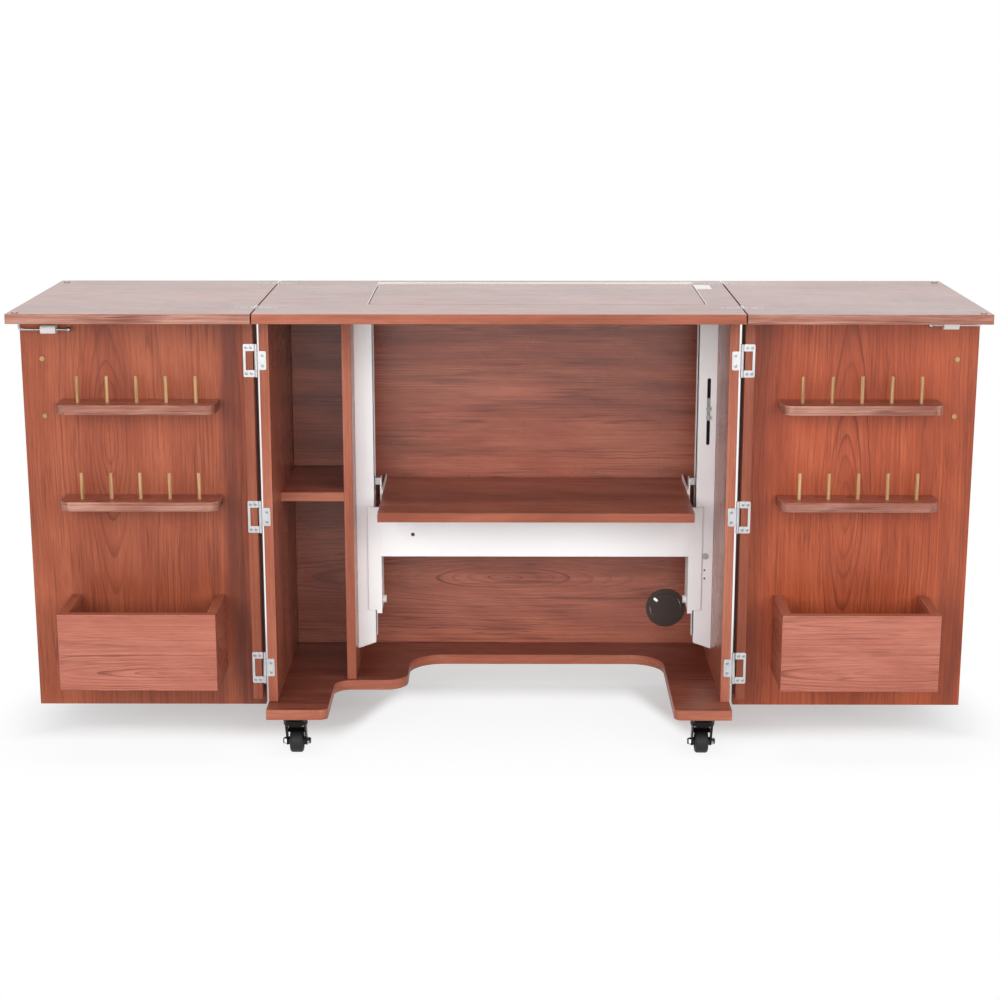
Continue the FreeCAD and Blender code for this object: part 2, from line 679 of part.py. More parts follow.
def adjuster():
    """Bar clamped behind the slot by two bolts, and the stop bolt below it."""
    wide, thick = CLAMP_BAR
    heights = [TOP - drop for drop in CLAMP_DROPS]
    near = COLUMN_NEAR + STEEL
    bar = box(SLOT_INSET - wide / 2.0, SLOT_INSET + wide / 2.0, near, near + thick,
              min(heights) - wide / 2.0, max(heights) + CLAMP_BAR_OVER)
    bar = cut(bar, *[drill(CLAMP_R, (SLOT_INSET, near, z), Y_AXIS, thick) for z in heights])
    bolts = [head_bolt(CLAMP_HEAD_R, z, STEEL + thick) for z in heights]
    return [bar] + bolts + [head_bolt(STOP_HEAD_R, TOP - STOP_DROP, STEEL)]


def block_middles():
    """Lower and upper block, which stay apart on a short carriage too."""
    lower = CARRIAGE_LOW + BLOCK_TALL / 2.0
    return lower, max(CARRIAGE_TOP - BLOCK_UPPER, lower + BLOCK_TALL + MOVE_GAP)


def carriage():
    """Front plate before the column, and a cheek beside its mouth that rises into an ear."""
    tab_wide, tab_long = CARRIAGE_TAB
    plate = box(CHEEK_IN - CARRIAGE_WIDTH, CHEEK_IN, CARRIAGE_NEAR, CARRIAGE_NEAR + STEEL, CARRIAGE_LOW, CARRIAGE_TOP)
    cheek = box(CHEEK_OUT, CHEEK_IN, CARRIAGE_NEAR, COLUMN_FAR, CARRIAGE_LOW, CARRIAGE_TOP)
    ear = box(CHEEK_OUT, CHEEK_IN, COLUMN_MID - EAR_WIDTH / 2.0, COLUMN_MID + EAR_WIDTH / 2.0,
              CARRIAGE_TOP, LIFT_REST + EAR_RISE)
    tab = box(CHEEK_IN - tab_wide, CHEEK_IN, CARRIAGE_NEAR, CARRIAGE_NEAR + STEEL,
              CARRIAGE_LOW - tab_long, CARRIAGE_LOW)
    holes = [drill(STUD_R, (CHEEK_OUT, COLUMN_MID, z), X_AXIS, STEEL) for z in block_middles()]
    return cut(fuse(plate, cheek, ear, tab), *holes)


def guide_block(z):
    """Block that runs between the column's lips, with its stud and round head in the cheek."""
    half = COLUMN_DEPTH / 2.0 - COLUMN_LIP - MOVE_GAP
    block = box(COLUMN_WIDTH - BLOCK_INTO, CHEEK_OUT, COLUMN_MID - half, COLUMN_MID + half,
                z - BLOCK_TALL / 2.0, z + BLOCK_TALL / 2.0)
    stud = rod(STUD_R, (CHEEK_OUT, COLUMN_MID, z), X_AXIS, STEEL)
    return fuse(block, stud, rod(STUD_HEAD_R, (CHEEK_IN, COLUMN_MID, z), X_AXIS, STUD_HEAD))


def crossbar():
    left, right = DIVIDER_RIGHT + CHEEK_IN, INNER_X - CHEEK_IN
    low = PLATFORM_UNDER - CROSSBAR_TALL
    face = box(left, right, CARRIAGE_NEAR, CARRIAGE_NEAR + STEEL, low, PLATFORM_UNDER)
    flange = box(left, right, CARRIAGE_NEAR, CARRIAGE_NEAR + CROSSBAR_FLANGE, PLATFORM_UNDER - STEEL, PLATFORM_UNDER)
    in_from_end, up = CROSSBAR_HOLE
    hole = drill(CROSSBAR_HOLE_R, (left + in_from_end, CARRIAGE_NEAR, low + up), Y_AXIS, STEEL)
    return fuse(face, flange).cut(hole)


def platform():
    return box(DIVIDER_RIGHT + PLATFORM_END, INNER_X - PLATFORM_END, FRONT + PLATFORM_SETBACK, PLATFORM_FAR,
               PLATFORM_UNDER, LIFT_REST)


def platform_arm():
    """Steel angle along an end of the platform, behind the crossbar's flange."""
    near = CARRIAGE_NEAR + CROSSBAR_FLANGE
    low = PLATFORM_UNDER - STEEL
    upright = box(CHEEK_IN, PLATFORM_END, near, PLATFORM_FAR, low, LIFT_REST + ARM_RISE)
    return fuse(upright, box(CHEEK_IN, PLATFORM_END + ARM_LEG, near, PLATFORM_FAR, low, PLATFORM_UNDER))


def strut_cylinder():
    """Closed tube with a bush in its mouth, and the foot that ties it to the column."""
    body = rod(STRUT_R, (STRUT_X, COLUMN_MID, STRUT_LOW), Z_AXIS, STRUT_TOP - STRUT_LOW)
    floor = STRUT_LOW + STRUT_PLUG
    bore = rod(STRUT_R - STRUT_WALL, (STRUT_X, COLUMN_MID, floor), Z_AXIS, STRUT_TOP - STRUT_BUSH - floor)
    mouth = rod(STRUT_ROD_R + RUN_GAP, (STRUT_X, COLUMN_MID, floor), Z_AXIS, STRUT_TOP + THROUGH - floor)
    foot = box(STEEL, STRUT_X + STRUT_R, COLUMN_MID - STRUT_R, COLUMN_MID + STRUT_R, STRUT_LOW - STRUT_FOOT, STRUT_LOW)
    return [cut(body, bore, mouth), foot]


def strut_rod():
    """Rod with its piston, and the head that ties it to the carriage's ear."""
    low = STRUT_LOW + STRUT_PLUG + STRUT_SPARE
    head_low = STRUT_TOP + STRUT_SPARE
    shaft = rod(STRUT_ROD_R, (STRUT_X, COLUMN_MID, low), Z_AXIS, head_low - low)
    piston = rod(STRUT_R - STRUT_WALL - RUN_GAP, (STRUT_X, COLUMN_MID, low), Z_AXIS, PISTON)
    half = STRUT_HEAD_WIDTH / 2.0
    head = box(STRUT_X - half, CHEEK_OUT, COLUMN_MID - half, COLUMN_MID + half, head_low, head_low + STRUT_HEAD)
    return fuse(shaft, piston, head)


# Cable grommet

def grommet_ring():
    x, z = grommet_middle()
    sleeve_r = GROMMET_R - GROMMET_RIM
    flange = rod(GROMMET_R, (x, BACK_IN - GROMMET_FLANGE, z), Y_AXIS, GROMMET_FLANGE)
    sleeve = rod(sleeve_r, (x, BACK_IN, z), Y_AXIS, BOARD)
    hole = drill(sleeve_r - GROMMET_WALL, (x, BACK_IN - GROMMET_FLANGE, z), Y_AXIS, BOARD + GROMMET_FLANGE)
    return fuse(flange, sleeve).cut(hole)


def grommet_cap():
    """Disc that turns in the ring, with a notch in its rim for a cable."""
    x, z = grommet_middle()
    r = GROMMET_R - GROMMET_RIM - GROMMET_WALL - GROMMET_CAP_GAP
    near = BACK_IN - GROMMET_FLANGE
    deep, wide = GROMMET_NOTCH
    notch = box(x - r - THROUGH, x - r + deep, near - THROUGH, near + GROMMET_CAP + THROUGH, z - wide / 2.0, z + wide / 2.0)
    notch.rotate(V(x, 0, z), Y_AXIS, 40)
    return rod(r, (x, near, z), Y_AXIS, GROMMET_CAP).cut(notch)


# Casters, drawn with the swivel at the origin's x and y and the wheel trailing to the back

def mount_plate():
    half = MOUNT_PLATE / 2.0
    plate = box(-half, half, -half, half, CASTER_HEIGHT - MOUNT_PLATE_T, CASTER_HEIGHT)
    head_top = FORK_LOW - MOVE_GAP
    king = rod(KING_R, (0, 0, head_top), Z_AXIS, CASTER_HEIGHT - MOUNT_PLATE_T - head_top)
    return fuse(plate, king, rod(KING_HEAD_R, (0, 0, head_top - KING_HEAD), Z_AXIS, KING_HEAD))


def fork():
    """Domed cap on the kingpin, and two legs that sweep back to the axle."""
    cap = rod(FORK_R, (0, 0, FORK_LOW), Z_AXIS, FORK_CAP)
    cap = cap.makeChamfer(FORK_CHAMFER, [e for e in cap.Edges if e.BoundBox.ZMin > FORK_TOP - TINY])
    root = (FORK_R ** 2 - LEG_OUT ** 2) ** 0.5
    mid = (FORK_LOW + FORK_TOP) / 2.0
    eye_y, eye = CASTER_TRAIL, FORK_EYE_R
    side = [(-root, mid), (root, mid), (eye_y + eye, WHEEL_R), (eye_y - eye, WHEEL_R), (-root, FORK_LOW)]
    legs = []
    for x in (-LEG_OUT, LEG_IN):
        blade = prism([(x, y, z) for y, z in side], X_AXIS, FORK_LEG)
        legs.append(fuse(blade, rod(eye, (x, eye_y, WHEEL_R), X_AXIS, FORK_LEG)))
    holes = [
        drill(KING_R + RUN_GAP, (0, 0, FORK_LOW), Z_AXIS, FORK_CAP),
        drill(AXLE_R, (-LEG_OUT, eye_y, WHEEL_R), X_AXIS, 2 * LEG_OUT),
    ]
    return cut(fuse(cap, *legs), *holes)


def axle():
    spots = (-LEG_OUT - NUT, LEG_OUT)
    nuts = [rod(NUT_R, (x, CASTER_TRAIL, WHEEL_R), X_AXIS, NUT) for x in spots]
    return fuse(rod(AXLE_R, (-LEG_OUT, CASTER_TRAIL, WHEEL_R), X_AXIS, 2 * LEG_OUT), *nuts)


def wheel():
    """Tyre with rounded shoulders and sunk webs, and a hub as wide as the fork."""
    half = WHEEL_WIDTH / 2.0
    middle = (-half, CASTER_TRAIL, WHEEL_R)
    tyre = rod(WHEEL_R, middle, X_AXIS, WHEEL_WIDTH)
    tyre = tyre.makeFillet(WHEEL_ROUND, [e for e in tyre.Edges if e.BoundBox.XLength < TINY])
    for x in (-half - THROUGH, half - WEB_SUNK):
        tyre = tyre.cut(rod(WEB_R, (x, CASTER_TRAIL, WHEEL_R), X_AXIS, WEB_SUNK + THROUGH))
    hub_half = LEG_IN - MOVE_GAP
    hub = rod(HUB_R, (-hub_half, CASTER_TRAIL, WHEEL_R), X_AXIS, 2 * hub_half)
    return fuse(tyre, hub).cut(drill(AXLE_R + RUN_GAP, (-hub_half, CASTER_TRAIL, WHEEL_R), X_AXIS, 2 * hub_half))


def caster_places():
    x = BODY_X - CASTER_INSET
    near, far = FRONT + CASTER_FRONT, REAR - CASTER_REAR
    return {
        "front_left": V(-x, near, 0), "front_right": V(x, near, 0),
        "rear_left": V(-x, far, 0), "rear_right": V(x, far, 0),
    }


def build_carcass():
    emit("base_board", base_board())
    emit_pair("side_panel", side_panel())
    emit("divider_panel", divider_panel())
    emit("fixed_shelf", fixed_shelf())
    emit("back_panel", back_panel())
    emit("grommet_ring", grommet_ring())
    emit("grommet_cap", grommet_cap())


def build_top():
    emit("centre_top", centre_top())
    emit("opening_liner", opening_liner())
    emit("notch_plate", notch_plate())
    emit("lid", lid())
    emit_pair("leaf_board", leaf_board())
    emit_pair("leaf_bumpers", *leaf_bumpers())
    emit_pair("leaf_hinge_wings", *leaf_wings())
    emit("top_hinge_wings", *both(top_wings()))


def build_doors():
    emit_pair("door_panel", door_panel())
    emit_pair("door_stile", door_stile())
    emit_pair("peg_shelves", *[peg_shelf(top) for top in shelf_tops()])
    emit_pair("pegs", *[peg(x, top) for top in shelf_tops() for x in peg_spots()])
    emit_pair("bin_front", bin_front())
    emit_pair("bin_box", *bin_box())
    emit_pair("handle", *handle())
    emit_pair("door_hinge_leaves", *[door_hinge_leaf(z) for z in hinge_middles()])
    emit("cabinet_hinge_leaves", *both([cabinet_hinge_leaf(z) for z in hinge_middles()]))
    emit("hinge_pins", *both(leaf_pins() + [hinge_pin(z) for z in hinge_middles()]))
    mean = TOP - BOLT_DROP
    emit("left_bolt_guide", bolt_guide(mean - BOLT_STAGGER))
    emit("right_bolt_guide", mirrored(bolt_guide(mean + BOLT_STAGGER)))
    emit("left_bolt", bolt(mean - BOLT_STAGGER))
    emit("right_bolt", mirrored(bolt(mean + BOLT_STAGGER)))


def build_lift():
    emit("left_lift_column", by_divider(column()))
    emit("right_lift_column", by_side(slotted_column()))
    emit("adjuster", *[by_side(s) for s in adjuster()])
    emit("platform", platform())
    emit("crossbar", crossbar())
    pairs = {
        "strut_cylinders": strut_cylinder(), "strut_rods": [strut_rod()], "carriages": [carriage()],
        "guide_blocks": [guide_block(z) for z in block_middles()], "platform_arms": [platform_arm()],
    }
    for name, solids in pairs.items():
        emit(name, *[by_divider(s) for s in solids], *[by_side(s) for s in solids])


def build_casters():
    places = caster_places()
    emit("caster_plates", *[mount_plate().translated(place) for place in places.values()])
    for name, place in places.items():
        emit(name + "_fork", fork().translated(place), axle().translated(place))
        emit(name + "_wheel", wheel().translated(place))


os.makedirs("parts", exist_ok=True)
build_carcass()
build_top()
build_doors()
build_lift()
build_casters()
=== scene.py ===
import json
import math

import bmesh
import bpy
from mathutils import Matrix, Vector

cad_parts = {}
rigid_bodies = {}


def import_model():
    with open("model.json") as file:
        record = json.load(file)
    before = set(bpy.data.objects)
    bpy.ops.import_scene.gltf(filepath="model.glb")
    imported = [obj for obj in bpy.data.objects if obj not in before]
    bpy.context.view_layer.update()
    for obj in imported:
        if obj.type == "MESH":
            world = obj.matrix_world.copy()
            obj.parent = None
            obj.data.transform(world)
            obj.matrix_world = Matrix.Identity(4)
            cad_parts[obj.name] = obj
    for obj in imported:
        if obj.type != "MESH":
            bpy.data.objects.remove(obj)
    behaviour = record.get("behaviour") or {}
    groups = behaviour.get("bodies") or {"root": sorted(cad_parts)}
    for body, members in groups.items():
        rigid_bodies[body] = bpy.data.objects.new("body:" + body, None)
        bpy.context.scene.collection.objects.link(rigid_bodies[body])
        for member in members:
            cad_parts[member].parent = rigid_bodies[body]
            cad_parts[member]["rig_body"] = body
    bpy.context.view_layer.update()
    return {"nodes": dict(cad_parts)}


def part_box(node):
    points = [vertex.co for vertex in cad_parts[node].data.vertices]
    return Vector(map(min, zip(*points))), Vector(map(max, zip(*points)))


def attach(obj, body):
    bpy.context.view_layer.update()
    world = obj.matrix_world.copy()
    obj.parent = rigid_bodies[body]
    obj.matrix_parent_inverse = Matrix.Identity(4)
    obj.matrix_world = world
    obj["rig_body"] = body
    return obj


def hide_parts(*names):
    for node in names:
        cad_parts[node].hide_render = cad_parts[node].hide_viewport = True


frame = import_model()
NODES = frame["nodes"]

# Attributes on the made pieces, which the materials read
GRAIN_PLACE = "grain_place"   # along the grain, across it and which board, in metres
EDGE_RUB = "edge_rub"         # 1 on eased edges, which hands and cloths rub

# Making meshes
WELD = 1e-6
FLAT_ANGLE = 0.009
SHARP_ANGLE = math.radians(32)
BIG_FACE = 4e-4               # square metres; larger faces are shaded flat
BOARD_EASE = 0.0008
STEEL_EASE = 0.0004
ON_PLANE = 1e-5
BROAD = 0.9                   # how squarely a board's broad face looks along its thickness
SMALL_HOLE_EDGE = 0.0012      # edges this short are round small holes, and stay sharp
LONG_EDGE = 0.008             # edges of steel and plastic that are longer are eased
CHANNEL_WALL = 0.0015
BOARD_STEP = 1.7              # sets each board's figure apart from the one before it
FACE_STEP = 3.1               # sets faces apart that lie at least FACE_SPACING from each other
FACE_SPACING = 0.05
X, Y, Z = 0, 1, 2

# Figure of the wood
RUN_OUT = 330.0               # how soon rings leave their heart and run straight
RING_DRIFT = 1.5              # how far the rings' widths vary
RIPPLE = 0.007
HEART_SWAY = 0.08
SLANT = 0.25
DARK_TONE, MIDDLE_TONE, LIGHT_TONE = 0.37, 0.52, 0.67


# Node trees

def feed(tree, value, socket):
    """Link an output to an input, or set the input to a plain value."""
    if isinstance(value, bpy.types.NodeSocket):
        tree.links.new(value, socket)
    else:
        socket.default_value = value


def calc(tree, operation, *values):
    """A sum in nodes."""
    node = tree.nodes.new("ShaderNodeMath")
    node.operation = operation
    for socket, value in zip(node.inputs, values):
        feed(tree, value, socket)
    return node.outputs[0]


def stretch(tree, vector, along, across, third=1.0):
    """A place scaled by its own amount on each axis."""
    node = tree.nodes.new("ShaderNodeVectorMath")
    node.operation = "MULTIPLY"
    feed(tree, vector, node.inputs[0])
    node.inputs[1].default_value = (along, across, third)
    return node.outputs[0]


def cloud(tree, vector, scale=1.0, detail=2.0, roughness=0.5):
    """Soft noise, about 0.3 to 0.7."""
    node = tree.nodes.new("ShaderNodeTexNoise")
    feed(tree, vector, node.inputs["Vector"])
    feed(tree, scale, node.inputs["Scale"])
    node.inputs["Detail"].default_value = detail
    node.inputs["Roughness"].default_value = roughness
    return node.outputs[0]


def between(tree, value, low, high, to_low=0.0, to_high=1.0):
    """Smooth step of a value from low to high."""
    node = tree.nodes.new("ShaderNodeMapRange")
    node.interpolation_type = "SMOOTHSTEP"
    for socket, given in zip(node.inputs, (value, low, high, to_low, to_high)):
        feed(tree, given, socket)
    return node.outputs[0]


def blend_colour(tree, share, first, second):
    """The first colour at share 0, the second at share 1."""
    node = tree.nodes.new("ShaderNodeMix")
    node.data_type = "RGBA"
    for index, value in ((0, share), (6, first), (7, second)):
        feed(tree, value, node.inputs[index])
    return node.outputs[2]


def colour_steps(tree, value, *steps):
    """A colour for each value, blended between steps of value and colour."""
    node = tree.nodes.new("ShaderNodeValToRGB")
    feed(tree, value, node.inputs[0])
    elements = node.color_ramp.elements
    ends = (steps[0], steps[-1])
    for element, (place, colour) in zip(elements, ends):
        element.position = place
        element.color = colour
    for place, colour in steps[1:-1]:
        elements.new(place).color = colour
    return node.outputs[0]


def use_group(tree, group, **values):
    """Put a shared effect in a tree with its inputs set, and return its outputs."""
    node = tree.nodes.new("ShaderNodeGroup")
    node.node_tree = group
    for name, value in values.items():
        feed(tree, value, node.inputs[name.replace("_", " ")])
    return node.outputs


def new_group(name, inputs, outputs):
    """A shared effect's tree, and its inputs and outputs as seen from within."""
    tree = bpy.data.node_groups.new(name, "ShaderNodeTree")
    for socket, kind, value in inputs:
        made = tree.interface.new_socket(socket, in_out="INPUT", socket_type=kind)
        if value is not None:
            made.default_value = value
    for socket in outputs:
        tree.interface.new_socket(socket, in_out="OUTPUT", socket_type="NodeSocketFloat")
    return tree, tree.nodes.new("NodeGroupInput").outputs, tree.nodes.new("NodeGroupOutput").inputs


def object_place(tree):
    return tree.nodes.new("ShaderNodeTexCoord").outputs["Object"]


def surface_attribute(tree, name):
    node = tree.nodes.new("ShaderNodeAttribute")
    node.attribute_name = name
    return node.outputs


def raised(tree, shader, height, strength, depth):
    """Fine relief on a finish, too small to be modelled."""
    node = tree.nodes.new("ShaderNodeBump")
    node.inputs["Strength"].default_value = strength
    node.inputs["Distance"].default_value = depth
    tree.links.new(height, node.inputs["Height"])
    tree.links.new(node.outputs["Normal"], shader.inputs["Normal"])


def new_finish(name, **plain):
    """A material, its tree and its shader, with the shader's plain values set."""
    material = bpy.data.materials.new(name)
    material.use_nodes = True
    shader = material.node_tree.nodes["Principled BSDF"]
    for socket, value in plain.items():
        shader.inputs[socket.replace("_", " ")].default_value = value
    return material, material.node_tree, shader


def paint(red, green, blue):
    """A colour as written out of 255, in the linear form that shaders take."""
    steps = [c / 255 for c in (red, green, blue)]
    return tuple(((c + 0.055) / 1.055) ** 2.4 if c > 0.04 else c / 12.92 for c in steps) + (1.0,)


# Shared surface effects

def cherry_figure():
    """Rings that close round a heart and run out straight, fibres, short pores and smoky streaks."""
    tree, given, result = new_group(
        "cherry_figure",
        [("Place", "NodeSocketVector", None), ("Ring Width", "NodeSocketFloat", 0.009),
         ("Heart Lean", "NodeSocketFloat", 0.3), ("Wander", "NodeSocketFloat", 0.03)],
        ("Tone", "Line", "Pore", "Smoke", "Height"),
    )
    place = given["Place"]

    # Distance from the heart, counted in rings
    parts = tree.nodes.new("ShaderNodeSeparateXYZ")
    feed(tree, place, parts.inputs[0])
    sway = calc(tree, "SUBTRACT", cloud(tree, stretch(tree, place, 2.4, 5.0), detail=2.0), 0.5)
    ripple = calc(tree, "SUBTRACT", cloud(tree, stretch(tree, place, 15.0, 45.0), detail=3.0), 0.5)
    shift = calc(tree, "MULTIPLY", sway, given["Wander"])
    shift = calc(tree, "MULTIPLY_ADD", ripple, RIPPLE, shift)
    across = calc(tree, "ADD", parts.outputs["Y"], shift)
    along = calc(tree, "MULTIPLY_ADD", sway, HEART_SWAY, parts.outputs["X"])
    lean = calc(tree, "MULTIPLY", along, given["Heart Lean"])
    lean = calc(tree, "MULTIPLY", lean, lean)
    lean = calc(tree, "DIVIDE", lean, calc(tree, "MULTIPLY_ADD", lean, RUN_OUT, 1.0))
    radius = calc(tree, "SQRT", calc(tree, "MULTIPLY_ADD", across, across, lean))
    rings = calc(tree, "DIVIDE", radius, given["Ring Width"])
    spread = tree.nodes.new("ShaderNodeCombineXYZ")
    tree.links.new(calc(tree, "MULTIPLY", rings, 0.5), spread.inputs["X"])
    tree.links.new(parts.outputs["Z"], spread.inputs["Y"])
    rings = calc(tree, "MULTIPLY_ADD", cloud(tree, spread.outputs[0], detail=0.0), RING_DRIFT, rings)
    phase = calc(tree, "FRACT", rings)

    # Dark lines at the rings' outer edges, each with its own weight, and loose threads
    pick = tree.nodes.new("ShaderNodeTexWhiteNoise")
    pick.noise_dimensions = "1D"
    feed(tree, calc(tree, "ADD", calc(tree, "FLOOR", rings), parts.outputs["Z"]), pick.inputs["W"])
    late = calc(tree, "MULTIPLY", between(tree, phase, 0.58, 0.95), between(tree, phase, 1.0, 0.965))
    weight = calc(tree, "MULTIPLY_ADD", calc(tree, "POWER", pick.outputs["Value"], 1.1), 0.65, 0.35)
    patch = between(tree, cloud(tree, stretch(tree, place, 5.0, 12.0, 1.7)), 0.36, 0.62, 0.3, 1.0)
    patch = calc(tree, "MULTIPLY", patch, between(tree, radius, 0.025, 0.085, 1.0, 0.6))
    line = calc(tree, "MULTIPLY", calc(tree, "MULTIPLY", late, weight), patch)
    thread = cloud(tree, stretch(tree, place, 2.6, 120.0, 3.3), detail=2.0)
    thread = between(tree, calc(tree, "ABSOLUTE", calc(tree, "SUBTRACT", thread, 0.5)), 0.045, 0.005)
    broken = between(tree, cloud(tree, stretch(tree, place, 7.0, 30.0, 3.9)), 0.4, 0.62)
    thread = calc(tree, "MULTIPLY", calc(tree, "MULTIPLY", thread, broken), 0.6)
    line = calc(tree, "MAXIMUM", line, thread)

    # Tone, from broad bands down to fibres
    bands = cloud(tree, stretch(tree, place, 0.9, 9.0, 1.3), detail=3.0, roughness=0.6)
    strands = cloud(tree, stretch(tree, place, 1.6, 70.0, 2.7), detail=3.0, roughness=0.6)
    fibres = cloud(tree, stretch(tree, place, 3.5, 260.0, 1.9), detail=4.0, roughness=0.65)
    tone = calc(tree, "MULTIPLY_ADD", bands, 0.55, calc(tree, "MULTIPLY_ADD", fibres, 0.34, 0.035))
    tone = calc(tree, "MULTIPLY_ADD", strands, 0.14, tone)
    slanting = tree.nodes.new("ShaderNodeCombineXYZ")
    tree.links.new(parts.outputs["X"], slanting.inputs["X"])
    tree.links.new(calc(tree, "MULTIPLY_ADD", parts.outputs["X"], SLANT, across), slanting.inputs["Y"])
    tree.links.new(parts.outputs["Z"], slanting.inputs["Z"])
    drift = cloud(tree, stretch(tree, slanting.outputs[0], 5.5, 19.0, 2.1), detail=3.0, roughness=0.55)
    tone = calc(tree, "MULTIPLY_ADD", calc(tree, "SUBTRACT", drift, 0.5), 0.42, tone)
    tone = calc(tree, "SUBTRACT", tone, calc(tree, "MULTIPLY", phase, 0.012))

    # Pores, and smoky streaks away from the heart
    pore = between(tree, cloud(tree, stretch(tree, place, 30.0, 900.0, 2.3), detail=1.0), 0.56, 0.7)
    far = between(tree, calc(tree, "ABSOLUTE", across), 0.10, 0.22, 0.12, 1.0)
    smoke = cloud(tree, stretch(tree, place, 1.3, 17.0, 2.9), detail=4.0, roughness=0.6)
    smoke = calc(tree, "MULTIPLY", between(tree, smoke, 0.42, 0.66), far)
    height = calc(tree, "MULTIPLY_ADD", pore, -1.0, calc(tree, "MULTIPLY", fibres, 0.5))
    feed(tree, tone, result["Tone"])
    feed(tree, line, result["Line"])
    feed(tree, pore, result["Pore"])
    feed(tree, smoke, result["Smoke"])
    feed(tree, calc(tree, "MULTIPLY_ADD", line, -0.4, height), result["Height"])
    return tree


def fine_mottle():
    """Fine orange-peel grain and broad soft patches on a coat, moulding or plating."""
    tree, given, result = new_group(
        "fine_mottle",
        [("Place", "NodeSocketVector", None), ("Grain Scale", "NodeSocketFloat", 700.0),
         ("Patch Scale", "NodeSocketFloat", 9.0)],
        ("Grain", "Patch"),
    )
    feed(tree, cloud(tree, given["Place"], given["Grain Scale"], detail=2.0), result["Grain"])
    feed(tree, cloud(tree, given["Place"], given["Patch Scale"], detail=3.0), result["Patch"])
    return tree


def rubbed_edge():
    """Where eased edges are rubbed: patchy along them, and none on broad faces."""
    tree, given, result = new_group(
        "rubbed_edge",
        [("Place", "NodeSocketVector", None), ("Patch Scale", "NodeSocketFloat", 40.0)],
        ("Rub",),
    )
    patch = between(tree, cloud(tree, given["Place"], given["Patch Scale"], detail=3.0), 0.38, 0.66)
    feed(tree, calc(tree, "MULTIPLY", patch, surface_attribute(tree, EDGE_RUB)["Fac"]), result["Rub"])
    return tree


CHERRY_FIGURE = cherry_figure()
FINE_MOTTLE = fine_mottle()
RUBBED_EDGE = rubbed_edge()


# Finishes

def cherry(name, colours, ring_width, heart_lean, wander, line_share, smoke_share, roughness, **plain):
    """Cherry-pattern laminate or edge band, from its colours and the size of its figure."""
    material, tree, shader = new_finish(name, **plain)
    dark, middle, light, line = colours
    place = surface_attribute(tree, GRAIN_PLACE)["Vector"]
    figure = use_group(tree, CHERRY_FIGURE, Place=place, Ring_Width=ring_width, Heart_Lean=heart_lean,
                       Wander=wander)
    rub = use_group(tree, RUBBED_EDGE, Place=object_place(tree))["Rub"]
    smear = use_group(tree, FINE_MOTTLE, Place=object_place(tree), Patch_Scale=6.0)["Patch"]
    colour = colour_steps(tree, figure["Tone"], (DARK_TONE, dark), (MIDDLE_TONE, middle),
                          (LIGHT_TONE, light))
    smoke = calc(tree, "MULTIPLY", figure["Smoke"], smoke_share)
    colour = blend_colour(tree, smoke, colour, SMOKY_BROWN)
    colour = blend_colour(tree, calc(tree, "MULTIPLY", figure["Line"], line_share), colour, line)
    colour = blend_colour(tree, calc(tree, "MULTIPLY", figure["Pore"], 0.3), colour, line)
    colour = blend_colour(tree, calc(tree, "MULTIPLY", rub, 0.3), colour, light)
    tree.links.new(colour, shader.inputs["Base Color"])
    dull = calc(tree, "MULTIPLY_ADD", smear, 0.16, roughness - 0.08)
    dull = calc(tree, "MULTIPLY_ADD", figure["Pore"], 0.12, dull)
    tree.links.new(calc(tree, "MULTIPLY_ADD", rub, -0.05, dull), shader.inputs["Roughness"])
    raised(tree, shader, figure["Height"], 0.25, 0.00025)
    return material


def coated(name, colour, shade, rubbed, roughness, grain_scale, bump, **plain):
    """A coat, moulding or rubber: soft patches of a second shade, fine grain and rubbed edges."""
    material, tree, shader = new_finish(name, **plain)
    place = object_place(tree)
    mottle = use_group(tree, FINE_MOTTLE, Place=place, Grain_Scale=grain_scale, Patch_Scale=11.0)
    rub = use_group(tree, RUBBED_EDGE, Place=place, Patch_Scale=60.0)["Rub"]
    tint = between(tree, mottle["Patch"], 0.3, 0.7)
    made = blend_colour(tree, tint, colour, shade)
    made = blend_colour(tree, calc(tree, "MULTIPLY", rub, 0.5), made, rubbed)
    tree.links.new(made, shader.inputs["Base Color"])
    dull = calc(tree, "MULTIPLY_ADD", mottle["Grain"], 0.16, roughness - 0.08)
    tree.links.new(calc(tree, "MULTIPLY_ADD", tint, 0.06, dull), shader.inputs["Roughness"])
    raised(tree, shader, mottle["Grain"], bump, 0.0002)
    return material


def plated(name, colour, shade, roughness, lay):
    """Bare or plated metal with drawn streaks; lay stretches them along the work."""
    material, tree, shader = new_finish(name, Metallic=1.0)
    place = object_place(tree)
    streaks = cloud(tree, stretch(tree, place, *lay), detail=3.0, roughness=0.6)
    haze = use_group(tree, FINE_MOTTLE, Place=place, Patch_Scale=30.0)
    rub = use_group(tree, RUBBED_EDGE, Place=place, Patch_Scale=90.0)["Rub"]
    tint = calc(tree, "MULTIPLY_ADD", streaks, 0.6, calc(tree, "MULTIPLY", haze["Patch"], 0.4))
    made = blend_colour(tree, between(tree, tint, 0.35, 0.65), shade, colour)
    made = blend_colour(tree, calc(tree, "MULTIPLY", rub, 0.6), made, colour)
    tree.links.new(made, shader.inputs["Base Color"])
    dull = calc(tree, "MULTIPLY_ADD", streaks, 0.2, roughness - 0.1)
    tree.links.new(dull, shader.inputs["Roughness"])
    raised(tree, shader, streaks, 0.06, 0.0001)
    return material


